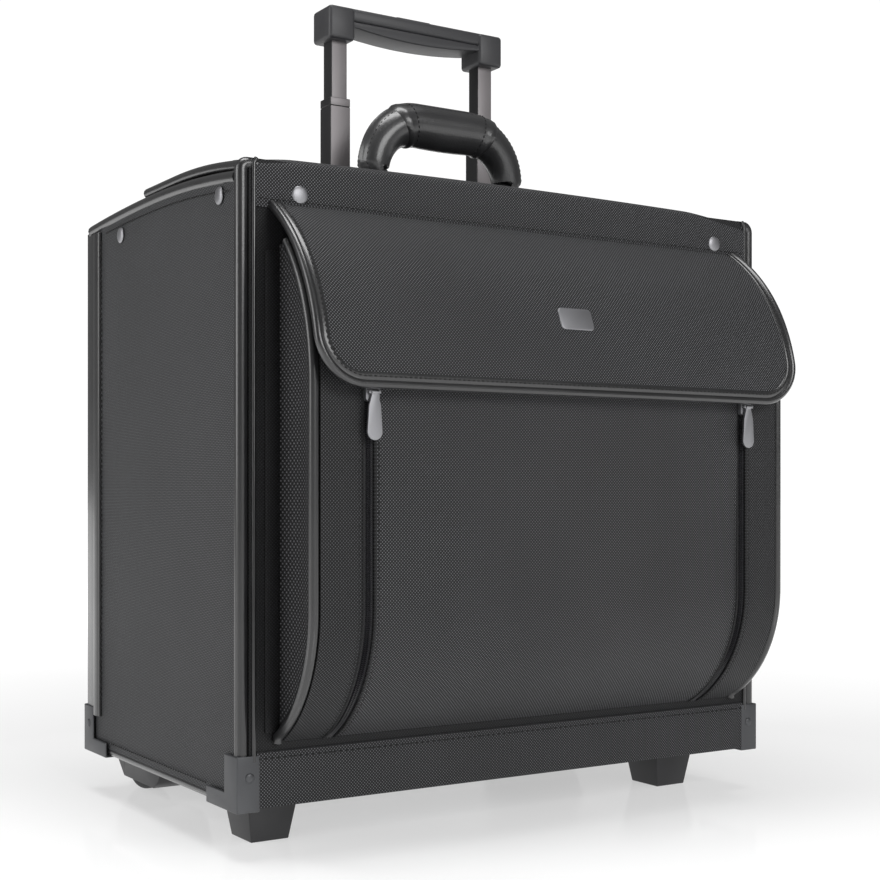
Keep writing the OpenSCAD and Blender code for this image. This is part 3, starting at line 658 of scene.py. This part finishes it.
def dome(place, outward, radius, height):
    """A rivet's head: a flattened ball sunk half into what it holds."""
    bpy.ops.object.select_all(action="DESELECT")
    bpy.ops.mesh.primitive_uv_sphere_add(segments=28, ring_count=14, radius=radius)
    head = bpy.context.object
    turn = Vector(outward).to_track_quat("Z", "Y")
    for v in head.data.vertices:
        v.co = Vector(place) + turn @ Vector((v.co.x, v.co.y, v.co.z * height / radius))
    smooth(head, 60)
    return head


heads = []
for side in (-1, 1):
    x, z = side * (side_x - 0.040), rim_z - 0.020
    heads.append(dome((x, band_face_y, z), (0, -1, 0), RIVET_R, 0.0013))
    heads.append(dome((x, back_y, z), (0, 1, 0), RIVET_R, 0.0015))
    for y in (front_y + 0.027, back_y - 0.069):
        heads.append(dome((side * side_x, y, z), (side, 0, 0), RIVET_R, 0.0016))
fit(join(heads), "rim_rivet_heads", nickel, "bright_metal", "case", "rim_rivets")

guard_low, guard_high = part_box("corner_guards")
heads = []
for side in (-1, 1):
    x, z = side * (side_x - 0.0068), base_z + 0.019
    for y, way in ((guard_low.y, -1), (guard_high.y, 1)):
        heads.append(dome((x, y, z), (0, way, 0), SMALL_RIVET_R, 0.001))
    heads.append(
        dome((side * guard_high.x, back_y - 0.0084, z), (side, 0, 0), SMALL_RIVET_R, 0.001)
    )
fit(join(heads), "guard_rivet_heads", guard_paint, "bright_metal", "case", "guard_rivets")


def refine(
    node, name, material, slot, bevel=0.0008, woven=False, segments=2, degrees=35, rounded=None
):
    """A finished copy of a CAD piece: merged, its edges rounded, dressed and put in its place.
    rounded(middle) picks the edges to round; without it, all sharp ones are."""
    source = frame["nodes"][node]
    piece = bpy.data.objects.new(name, source.data.copy())
    bpy.context.collection.objects.link(piece)
    piece.data.materials.clear()
    take(piece)
    bpy.ops.object.mode_set(mode="EDIT")
    bpy.ops.mesh.select_all(action="SELECT")
    bpy.ops.mesh.remove_doubles(threshold=0.00001)
    bpy.ops.mesh.dissolve_limited(angle_limit=math.radians(1))
    bpy.ops.object.mode_set(mode="OBJECT")
    if bevel:
        edge = piece.modifiers.new("edge", "BEVEL")
        edge.width = bevel
        edge.segments = segments
        edge.limit_method = "ANGLE"
        edge.angle_limit = math.radians(40)
        if rounded:
            mesh = piece.data
            weights = mesh.attributes.new("bevel_weight_edge", "FLOAT", "EDGE")
            for line in mesh.edges:
                ends = [mesh.vertices[i].co for i in line.vertices]
                weights.data[line.index].value = float(rounded((ends[0] + ends[1]) / 2))
            edge.limit_method = "WEIGHT"
        bpy.ops.object.modifier_apply(modifier=edge.name)
    if woven:
        lay_weave(piece)
    smooth(piece, degrees)
    return fit(piece, name, material, slot, source["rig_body"], node)


refine("corner_guards", "pressed_corner_guards", guard_paint, "gunmetal", 0.0011, segments=3)

# Front pocket: a bellows of nylon sewn to the front wall. Its face is one panel between two
# zips, with a strip of the same cloth outside each zip and a mesh gusset down each side.
POCKET_REACH = 0.050
LOW_BEND, LOW_BEND_Z = 0.092, base_z + 0.120
TOP_BEND, TOP_BEND_Z = 0.127, base_z + 0.250
pocket_foot_z, pocket_mouth_z = base_z + 0.0388, base_z + 0.335
gusset_foot_z = base_z + 0.0425
ZIP_X, ZIP_HALF = 0.147, 0.004
pocket_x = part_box("pocket_side_right")[1].x
POCKET_T = 0.0022


def pocket_y(z, inwards=0.0):
    """The pocket's outer face at a height, or that many metres inside it."""
    bend = LOW_BEND if z < LOW_BEND_Z else TOP_BEND
    centre = min(max(z, LOW_BEND_Z), TOP_BEND_Z)
    r = bend - inwards
    return front_y - POCKET_REACH + bend - math.sqrt(max(0.0, r * r - (z - centre) ** 2))


def pocket_height(share):
    """Height at a share of the way up the pocket's face."""
    return pocket_foot_z + (pocket_mouth_z - pocket_foot_z) * share


def pocket_strip(x0, x1, columns, rows=90, sunk=0.0, puff=0.0, wobble=0.0):
    """A strip of the pocket's face between two places across the case."""
    def place(u, v):
        z = pocket_height(v)
        x = x0 + (x1 - x0) * u
        plump = puff * (math.sin(math.pi * u) * math.sin(math.pi * v)) ** 0.7 if 0 < u < 1 else 0
        plump += wobble * noise.noise(Vector((x * 9, z * 9, 2.5)))
        return Vector((x, min(pocket_y(z, sunk) - plump, front_y - 0.0006), z))
    piece = grid(columns, rows, place)
    thicken(piece, POCKET_T, even=False)
    lay_weave(piece, lambda p: (p.x, p.z + 0.35 * min(0.0, front_y - POCKET_REACH - p.y)))
    smooth(piece, 50)
    return piece


front = pocket_strip(-ZIP_X + ZIP_HALF, ZIP_X - ZIP_HALF, 60, puff=0.0016, wobble=0.0009)
fit(front, "pocket_face", case_nylon, "fabric", "case", "pocket_front")
# Painted shade: a darker copy of the case nylon for the strips outside the zips, which lie on the
# pocket's flanks, turned away from the light.
painted_shade_strip_nylon = nylon("painted_shade_strip_nylon", rgb(0.001, 0.001, 0.0013), rgb(0.11, 0.112, 0.12))
gusset_mesh = nylon(
    "gusset_mesh", rgb(0.002, 0.002, 0.0024), rgb(0.14, 0.14, 0.148), 0.0034, 0.5, 0.0006
)
zip_cloth = plain("zip_cloth", (0.010, 0.010, 0.012), 0.65, 1500, 0.0002)
coil_black = plain("coil_black", (0.016, 0.016, 0.019), 0.3)
for hand, side in (("left", -1), ("right", 1)):
    ends = sorted((side * (ZIP_X + ZIP_HALF), side * (pocket_x - 0.0022)))
    strip = pocket_strip(ends[0], ends[1], 8, puff=0.0007)
    fit(strip, hand + "_pocket_strip", painted_shade_strip_nylon, "fabric", "case", "pocket_side_" + hand)

    heights = [pocket_height(i / 90) for i in range(91)]
    folds = []
    for x in (ZIP_X - ZIP_HALF, ZIP_X + ZIP_HALF):
        folds.append(tube([(side * x, pocket_y(z) + 0.0004, z) for z in heights], 0.0010))
    fit(join(folds), hand + "_zip_folds", painted_shade_nylon, "fabric", "case")
    lay_weave(bpy.data.objects[hand + "_zip_folds"])
    rows = [
        sew([(side * x, pocket_y(z) - 0.0002, z) for z in heights], 0.0034, 0.0022, 0.0003)
        for x in (ZIP_X - ZIP_HALF - 0.0026, ZIP_X + ZIP_HALF + 0.0026)
    ]
    fit(join(rows), hand + "_zip_stitching", thread_black, "fabric", "case")

    ends = sorted((side * (ZIP_X - ZIP_HALF), side * (ZIP_X + ZIP_HALF)))
    tape = pocket_strip(ends[0], ends[1], 4, sunk=0.0012)
    fit(tape, hand + "_zip_tape", zip_cloth, "black_plastic", "case")
    coils = []
    for step, lean in ((-0.0009, 0.5), (0.0009, -0.5)):
        run = [(side * ZIP_X + step, pocket_y(z, 0.0008), z) for z in heights]
        coils.append(sew(run, 0.00125, 0.0009, 0.0011))
    fit(join(coils), hand + "_zip_coil", coil_black, "black_plastic", "case")

    def gusset_point(u, v, side=side):
        z = gusset_foot_z + (pocket_mouth_z - gusset_foot_z) * v
        edge = pocket_y(z, 0.0025)
        across = u if side > 0 else 1 - u
        y = edge + (front_y - 0.0006 - edge) * across
        sag = 0.0042 * math.sin(math.pi * across) * math.sin(math.pi * v) ** 0.5
        return Vector((side * (pocket_x - 0.0004 - sag), min(y, front_y - 0.0006), z))

    gusset = grid(14, 90, gusset_point)
    thicken(gusset, 0.0016, even=False)
    lay_weave(gusset)
    smooth(gusset, 50)
    fit(gusset, hand + "_gusset", gusset_mesh, "fabric", "case")
    flange = slab(
        (min(side * pocket_x, side * (pocket_x + 0.009)), front_y - 0.0016, pocket_foot_z + 0.006),
        (max(side * pocket_x, side * (pocket_x + 0.009)), front_y + 0.0002, pocket_mouth_z - 0.004),
        0.0005,
    )
    lay_weave(flange)
    fit(flange, hand + "_gusset_flange", painted_shade_nylon, "fabric", "case")

    piping_x = side * (pocket_x + 0.0012)
    run = [(piping_x, min(pocket_y(z, 0.0022), front_y - 0.0015), z) for z in heights]
    bead = tube(run, 0.0031)
    fit(bead, hand + "_pocket_piping", welt_leather, "leather", "case")

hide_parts("pocket_pipings")
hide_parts("zippers")


# Flap over the pocket's mouth: one bowed panel of nylon over board, stitched along its top
# edge and bound round its other edges with a flat leather band that ends in a round bead.
FLAP_R, FLAP_REACH, FLAP_T = 0.128, 0.063, 0.0035
FLAP_CORNER = 0.030
FLAP_ROWS, CORNER_ROWS = 64, 20
flap_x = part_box("flap_binding")[1].x
flap_zc, flap_yc = base_z + 0.250, front_y - FLAP_REACH + FLAP_R
flap_foot = math.asin((base_z + 0.248 - flap_zc) / FLAP_R)
flap_head = math.asin((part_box("flap_panel")[1].z - 0.0005 - flap_zc) / FLAP_R)
flap_long = FLAP_R * (flap_head - flap_foot)


def on_flap(x, along, proud=0.0):
    """The place on the flap that far up from its lower edge, and that far out of its face."""
    turn = flap_foot + along / FLAP_R
    sway = 0.0008 * math.sin(x * 26 + 0.6) * max(0.0, 1 - along / 0.07)
    r = FLAP_R + proud
    return Vector((x, flap_yc - r * math.cos(turn) - sway, flap_zc + r * math.sin(turn)))


def flap_half(along):
    if along > FLAP_CORNER:
        return flap_x
    return flap_x - FLAP_CORNER + math.sqrt(FLAP_CORNER**2 - (FLAP_CORNER - along) ** 2)


def flap_point(u, v):
    rows = v * FLAP_ROWS
    if rows < CORNER_ROWS:
        along = 0.0015 + (FLAP_CORNER - 0.0015) * (1 - math.cos(rows / CORNER_ROWS * math.pi / 2))
    else:
        share = (rows - CORNER_ROWS) / (FLAP_ROWS - CORNER_ROWS)
        along = FLAP_CORNER + (flap_long - FLAP_CORNER) * share
    x = (flap_half(along) - 0.0012) * (2 * u - 1)
    swell = 0.0009 * math.sin(math.pi * u) * math.sin(math.pi * v) ** 0.6
    swell += 0.0004 * noise.noise(Vector((x * 10, along * 16, 4.0)))
    return on_flap(x, along, swell)


flap = grid(84, FLAP_ROWS, flap_point)
thicken(flap, FLAP_T - 0.0004, lined=True, even=False)
lay_weave(flap, lambda p: (p.x, FLAP_R * math.atan2(p.z - flap_zc, flap_yc - p.y)))
smooth(flap, 50)
fit(flap, "flap_cover", [case_nylon, case_lining], "fabric", "pocket_flap", "flap_panel")

edge_run = [(flap_x, flap_long - (flap_long - FLAP_CORNER) * i / 30) for i in range(31)]
for x, up in arc((flap_x - FLAP_CORNER, FLAP_CORNER), FLAP_CORNER, 0, -90, 16)[1:]:
    edge_run.append((x, up))
edge_run += [((flap_x - FLAP_CORNER) * (1 - i / 40), 0.0) for i in range(1, 41)]
edge_run += [(-x, up) for x, up in reversed(edge_run[:-1])]
BAND_PROFILE = [
    (0.0080, -0.0004), (0.0079, 0.0006), (0.0072, 0.0011), (0.0060, 0.0012), (0.0048, 0.0011),
    (0.0040, 0.0008), (0.0036, 0.0006), (0.0032, 0.0010), (0.0022, 0.0017), (0.0010, 0.0018),
    (-0.0002, 0.0012), (-0.0009, 0.0), (-0.0010, -0.0014), (-0.0005, -0.0028), (0.0008, -0.0038),
    (0.0024, -0.0041), (0.0050, -0.0042), (0.0080, -0.0040),
]


def band_point(u, v, count=len(BAND_PROFILE)):
    """A place round the binding's section, u, on its way round the flap's edge, v."""
    i = round(v * (len(edge_run) - 1))
    x, up = edge_run[i]
    before, after = edge_run[max(0, i - 1)], edge_run[min(len(edge_run) - 1, i + 1)]
    heading = Vector((after[0] - before[0], after[1] - before[1])).normalized()
    inward, proud = BAND_PROFILE[round(u * count) % count]
    return on_flap(x + heading.y * inward, up - heading.x * inward, proud)


binding = grid(len(BAND_PROFILE), len(edge_run) - 1, band_point)
take(binding)
bpy.ops.object.mode_set(mode="EDIT")
bpy.ops.mesh.select_all(action="SELECT")
bpy.ops.mesh.remove_doubles(threshold=0.00002)
bpy.ops.mesh.fill_holes(sides=0)
bpy.ops.mesh.normals_make_consistent(inside=False)
bpy.ops.object.mode_set(mode="OBJECT")
smooth(binding, 60)
fit(binding, "flap_edge_binding", welt_leather, "leather", "pocket_flap", "flap_binding")
row = []
for i, (x, up) in enumerate(edge_run):
    before, after = edge_run[max(0, i - 1)], edge_run[min(len(edge_run) - 1, i + 1)]
    heading = Vector((after[0] - before[0], after[1] - before[1])).normalized()
    row.append(on_flap(x + heading.y * 0.0060, up - heading.x * 0.0060, 0.0012))
fit(sew(row[2:-2], 0.0034, 0.0023), "flap_stitching", thread_black, "leather", "pocket_flap")
refine("flap_badge", "plain_badge", nickel, "bright_metal", 0.0005, segments=3)

# Front lid: a nylon-covered board, arched from front to back and notched at the back for the
# trolley. A thick leather roll is sewn along its side edges and a thin one along its back.
LID_T = 0.0062
lid_front = front_y + 0.0075
piping_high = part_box("front_lid_piping")[1]
lid_back_y = lid_high.y
notch_x = 0.080
notch_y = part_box("trolley_bezel")[0].y - 0.002
ROLL_R, NOTCH_ROLL_R = 0.0035, 0.0028
LID_HALF = 0.196
LID_ROWS, NOTCH_ROWS = 42, 28


def lid_point(u, v):
    rows = v * LID_ROWS
    if rows < NOTCH_ROWS:
        y = lid_front + (notch_y - lid_front) * rows / NOTCH_ROWS
    else:
        share = (rows - NOTCH_ROWS) / (LID_ROWS - NOTCH_ROWS)
        y = notch_y + (lid_back_y - notch_y) * share
    x = LID_HALF * (2 * u - 1)
    droop = 0.0004 * noise.noise(Vector((x * 8, y * 10, 1.0)))
    return Vector((x, y, lid_crown(x, y) + droop))


lid = grid(98, LID_ROWS, lid_point)
take(lid)
bpy.ops.object.mode_set(mode="EDIT")
bpy.ops.mesh.select_mode(type="FACE")
bpy.ops.object.mode_set(mode="OBJECT")
for face in lid.data.polygons:
    face.select = abs(face.center.x) < notch_x and face.center.y > notch_y
bpy.ops.object.mode_set(mode="EDIT")
bpy.ops.mesh.delete(type="FACE")
bpy.ops.object.mode_set(mode="OBJECT")
thicken(lid, LID_T, lined=True)
lay_weave(lid)
smooth(lid)
fit(lid, "lid_cover", [case_nylon, case_lining], "fabric", "front_lid", "front_lid_panel")
rolls = []
for side in (-1, 1):
    run = [lid_front - 0.001 + (lid_back_y - lid_front - 0.001) * i / 24 for i in range(25)]
    roll_x = side * (piping_high.x - ROLL_R)
    side_roll = [(roll_x, y, lid_crown(roll_x, y) - ROLL_R + 0.0002) for y in run]
    rolls.append(tube(side_roll, ROLL_R, lambda share: 1 if share > 0.03 else 0.7))
    back_z = lid_crown(0, lid_back_y) - ROLL_R + 0.0002
    ends = (side * (notch_x + 0.003), lid_back_y - ROLL_R), (roll_x, lid_back_y - ROLL_R)
    rolls.append(tube([(x, y, back_z) for x, y in ends], ROLL_R * 0.96))
    rim = [(side * notch_x, y, back_z + 0.001) for y in (notch_y, lid_back_y - 0.004)]
    rolls.append(tube(rim, NOTCH_ROLL_R))
rim = [(x, notch_y, back_z + 0.0004) for x in (-notch_x, notch_x)]
rolls.append(tube(rim, NOTCH_ROLL_R))
fit(join(rolls), "lid_rolls", welt_leather, "leather", "front_lid", "front_lid_piping")

# Rear lid: a second nylon-covered board behind the trolley, hinged at the back wall.
refine("rear_lid_panel", "rear_lid_cover", case_nylon, "fabric", 0.0022, woven=True, segments=3)

# Carry handle: a padded bar wrapped in leather over a steel strap. The leather is closed by
# a stitched ridge along the outside, and a second stitched wrap is drawn round its middle.
mount_low, mount_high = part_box("handle_mounts")
grab_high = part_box("grab_handle")[1]
pivot_y, pivot_z = (mount_low.y + mount_high.y) / 2, mount_high.z - 0.005
leg_x = 0.0555
GRIP_R, LEG_R, HANDLE_BEND = 0.0135, 0.0108, 0.036
BELLY = 0.0026
bar_z = grab_high.z - GRIP_R
handle_leather = hide(
    "handle_leather", rgb(0.009, 0.009, 0.0095), rgb(0.024, 0.024, 0.0255), 0.4, 900, 0.0003
)
corner_x, corner_z = leg_x + 0.0012 - HANDLE_BEND, bar_z - HANDLE_BEND
half = [(leg_x - 0.0006, pivot_z + 0.0095), (leg_x + 0.0004, pivot_z + 0.011)]
half += arc((corner_x, corner_z + 0.0), HANDLE_BEND, 0, 90, 22)
half += [(corner_x * (1 - i / 8), bar_z) for i in range(1, 9)]
spine = half + [(-x, z) for x, z in reversed(half[:-1])]
spine_long = [0.0]
for (x0, z0), (x1, z1) in zip(spine, spine[1:]):
    spine_long.append(spine_long[-1] + math.hypot(x1 - x0, z1 - z0))


def handle_sweep(first, last, proud, sides=40, seam=0.0):
    """The leather's skin from one place on the spine to another, that far over its pad."""
    rows = last - first

    def place(u, v):
        i = first + round(v * rows)
        x, z = spine[i]
        before, after = spine[max(0, i - 1)], spine[min(len(spine) - 1, i + 1)]
        heading = Vector((after[0] - before[0], 0, after[1] - before[1])).normalized()
        outward = Vector((heading.z, 0, -heading.x))
        share = spine_long[i] / spine_long[-1]
        full = math.sin(math.pi * share)
        r = LEG_R + (GRIP_R - LEG_R) * min(1.0, full * 1.35) ** 1.2
        if callable(proud):
            r += proud(i)
        else:
            r += proud
        a = 2 * math.pi * (round(u * sides) % sides) / sides
        out, across = math.cos(a), math.sin(a)
        away = r * out
        if out < 0:
            away -= BELLY * max(0.0, 1 - (x / 0.045) ** 2) * out * out
        if seam:
            away += seam * max(0.0, 1 - (a if a < math.pi else 2 * math.pi - a) / 0.16)
        centre = Vector((x, pivot_y, z))
        return centre + outward * away + Vector((0, 1, 0)) * (r * across)

    skin = grid(sides, rows, place)
    take(skin)
    bpy.ops.object.mode_set(mode="EDIT")
    bpy.ops.mesh.select_all(action="SELECT")
    bpy.ops.mesh.remove_doubles(threshold=0.00002)
    bpy.ops.mesh.fill_holes(sides=0)
    bpy.ops.mesh.normals_make_consistent(inside=False)
    bpy.ops.object.mode_set(mode="OBJECT")
    smooth(skin, 60)
    return skin


body = handle_sweep(0, len(spine) - 1, 0.0, seam=0.0011)
wrap_ends = [i for i, (x, z) in enumerate(spine) if abs(x) < 0.0385 and z > corner_z]
first, last = wrap_ends[0], wrap_ends[-1]


def wrap_proud(i):
    from_end = min(i - first, last - i)
    return 0.0009 + (0.0005 if from_end in (1, 2) else 0.0) - (0.0009 if from_end == 0 else 0.0)


wrap = handle_sweep(first, last, wrap_proud, seam=0.0009)
tabs = []
for side in (-1, 1):
    x = side * leg_x
    block = slab((x - 0.0088, pivot_y - 0.0068, pivot_z - 0.0068),
                 (x + 0.0088, pivot_y + 0.0068, pivot_z + 0.0105), 0.0042)
    tabs.append(block)
handle = join([body, wrap, *tabs])
fit(handle, "carry_handle_leather", handle_leather, "leather", "carry_handle", "grab_handle")
rows = []
for way in (-1, 1):
    run = []
    for i, (x, z) in enumerate(spine):
        before, after = spine[max(0, i - 1)], spine[min(len(spine) - 1, i + 1)]
        heading = Vector((after[0] - before[0], 0, after[1] - before[1])).normalized()
        outward = Vector((heading.z, 0, -heading.x))
        full = math.sin(math.pi * spine_long[i] / spine_long[-1])
        r = LEG_R + (GRIP_R - LEG_R) * min(1.0, full * 1.35) ** 1.2 - 0.0001
        r += 0.0009 if first < i < last else 0.0
        lean = way * 0.62
        run.append(Vector((x, pivot_y, z)) + outward * r * math.cos(lean)
                   + Vector((0, 1, 0)) * r * math.sin(lean))
    rows.append(sew(run[2:-2], 0.0036, 0.0024, 0.00038))
for i in (first + 4, last - 4):
    x, z = spine[i]
    before, after = spine[i - 1], spine[i + 1]
    heading = Vector((after[0] - before[0], 0, after[1] - before[1])).normalized()
    outward = Vector((heading.z, 0, -heading.x))
    ring = []
    for step in range(41):
        a = 2 * math.pi * step / 40
        r = GRIP_R + 0.0011
        fuller = 1.0 if math.cos(a) > 0 else 1.08
        ring.append(Vector((x, pivot_y, z)) + outward * r * math.cos(a) * fuller
                    + Vector((0, 1, 0)) * r * math.sin(a))
    rows.append(sew(ring, 0.0034, 0.0023, 0.0004))
fit(join(rows), "carry_handle_stitching", thread_black, "leather", "carry_handle")


# Trolley: two telescopic tubes of drawn aluminium, silver on their front and back faces and black
# on their sides, in a moulded surround. The handgrip is a moulded block with a top shell.
moulded_black = plain("moulded_black", (0.020, 0.020, 0.022), 0.42, 1300, 0.00006)
grip_plastic = plain("grip_plastic", (0.034, 0.034, 0.037), 0.45, 1500, 0.00008)
tube_silver = plain("tube_silver", (0.25, 0.235, 0.24), 0.48, 700, 0.00002, 0.6)
tube_black = plain("tube_black", (0.012, 0.012, 0.013), 0.38, 900, 0.00003)
for node, name in (
    ("trolley_outer_tubes", "outer_tubes"),
    ("trolley_mid_tubes", "middle_tubes"),
    ("trolley_top_tubes", "top_tubes"),
    ("mid_tube_collars", "tube_collars"),
):
    tubes = refine(node, name, [tube_silver, tube_black], "alloy", 0.0012, segments=3)
    for face in tubes.data.polygons:
        face.material_index = 1 if abs(face.normal.y) < 0.75 else 0
refine("trolley_bezel", "tube_surround", moulded_black, "black_plastic", 0.0022, segments=3)
refine("trolley_base", "tube_foot_block", moulded_black, "black_plastic", 0.0012)
grip_low, grip_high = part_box("grip_lower")[0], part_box("grip_upper")[1]


def on_shell_outside(middle):
    """Whether an edge lies on the shell's outer faces, and not in the button's pocket."""
    at_side = min(abs(middle.y - grip_low.y), abs(middle.y - grip_high.y)) < 0.0005
    return at_side or abs(abs(middle.x) - grip_high.x) < 0.0005


refine("grip_upper", "grip_shell", grip_plastic, "black_plastic", 0.0034, segments=4,
       rounded=on_shell_outside)
refine("grip_lower", "grip_body", grip_plastic, "black_plastic", 0.0012, segments=3)
GRIP_END = 0.0205
blocks = []
for side in (-1, 1):
    ends = sorted((side * (grip_high.x + 0.0004), side * (grip_high.x - GRIP_END)))
    block = slab((ends[0], grip_low.y - 0.0013, grip_low.z - 0.0003),
                 (ends[1], grip_high.y + 0.0013, grip_high.z - 0.0006), 0.0026)
    blocks.append(block)
fit(join(blocks), "grip_end_blocks", grip_plastic, "black_plastic", "trolley_top")
refine("release_button", "grip_button", moulded_black, "black_plastic", 0.0014, segments=3)

# Running gear: rubber tyres on moulded hubs, in housings let into the rear lower corners,
# and two moulded feet under the front with ribbed flared soles.
rubber = plain("rubber", (0.011, 0.011, 0.012), 0.6, 1100, 0.00015)
hub_plastic = plain("hub_plastic", (0.05, 0.05, 0.055), 0.4, 1000, 0.00005)
axle_steel = plain("axle_steel", (0.42, 0.42, 0.43), 0.32, 800, 0.00002, 1.0)
for hand in ("left", "right"):
    refine("tyre_" + hand, hand + "_tyre", rubber, "rubber", 0.0024, segments=4)
    refine("hub_" + hand, hand + "_hub", hub_plastic, "black_plastic", 0.0008, segments=3)
    refine("wheel_housing_" + hand, hand + "_wheel_housing", moulded_black, "black_plastic", 0.0014)
    refine("foot_" + hand, hand + "_foot", moulded_black, "black_plastic", 0.0013, segments=3)
refine("wheel_axles", "axles", axle_steel, "bright_metal", 0.0004)

# Box: bottom and back boards under nylon, with the rim frame of folded steel strip inside
# the top edge. The inner boards and pads are covered in brushed lining.
rim_steel = plain("rim_steel", (0.20, 0.20, 0.21), 0.4, 900, 0.00004, 1.0)
refine("back_panel", "back_wall", case_nylon, "fabric", 0.0012, woven=True)
refine("bottom_panel", "floor_board", moulded_black, "black_plastic", 0.0012)
refine("rim_frame", "rim_strip", rim_steel, "gunmetal", 0.0003)
pad_cloth = plain_cloth("pad_cloth", rgb(0.06, 0.06, 0.065), rgb(0.16, 0.16, 0.17))
refine("divider_front", "front_divider", pad_cloth, "lining", 0.0012)
refine("divider_rear", "rear_divider", pad_cloth, "lining", 0.0012)
refine("file_dividers", "file_boards", case_lining, "lining", 0.0006)
for node, name, puff in (
    ("floor_pad", "padded_floor", 0.0012),
    ("laptop_sleeve", "sleeve", 0.0010),
):
    pad = refine(node, name, pad_cloth, "lining", puff, segments=3)

# Locks and fittings: cast lock cases with three number wheels and a push button each, steel
# catch plates on the rear lid, and the handle's riveted pivot plates.
lock_finish = plain("lock_finish", (0.16, 0.16, 0.17), 0.3, 1200, 0.00003, 0.9)
dial_finish = plain("dial_finish", (0.55, 0.53, 0.50), 0.3, 1000, 0.00002, 0.9)
refine("lock_bodies", "lock_cases", lock_finish, "gunmetal", 0.0016, segments=3)
refine("lock_catches", "catch_plates", lock_finish, "gunmetal", 0.0005)
refine("handle_mounts", "handle_pivots", lock_finish, "gunmetal", 0.0007, segments=3)
for hand in ("left", "right"):
    refine("lock_button_" + hand, hand + "_lock_button", dial_finish, "bright_metal", 0.0008)
    for i in (1, 2, 3):
        refine(f"dial_{hand}_{i}", f"{hand}_dial_{i}", dial_finish, "bright_metal", 0.0003)
    refine("zip_slider_" + hand, hand + "_slider", nickel, "bright_metal", 0.0008, segments=3)
    refine("zip_pull_" + hand, hand + "_pull", nickel, "bright_metal", 0.0006, segments=3)

low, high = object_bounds()
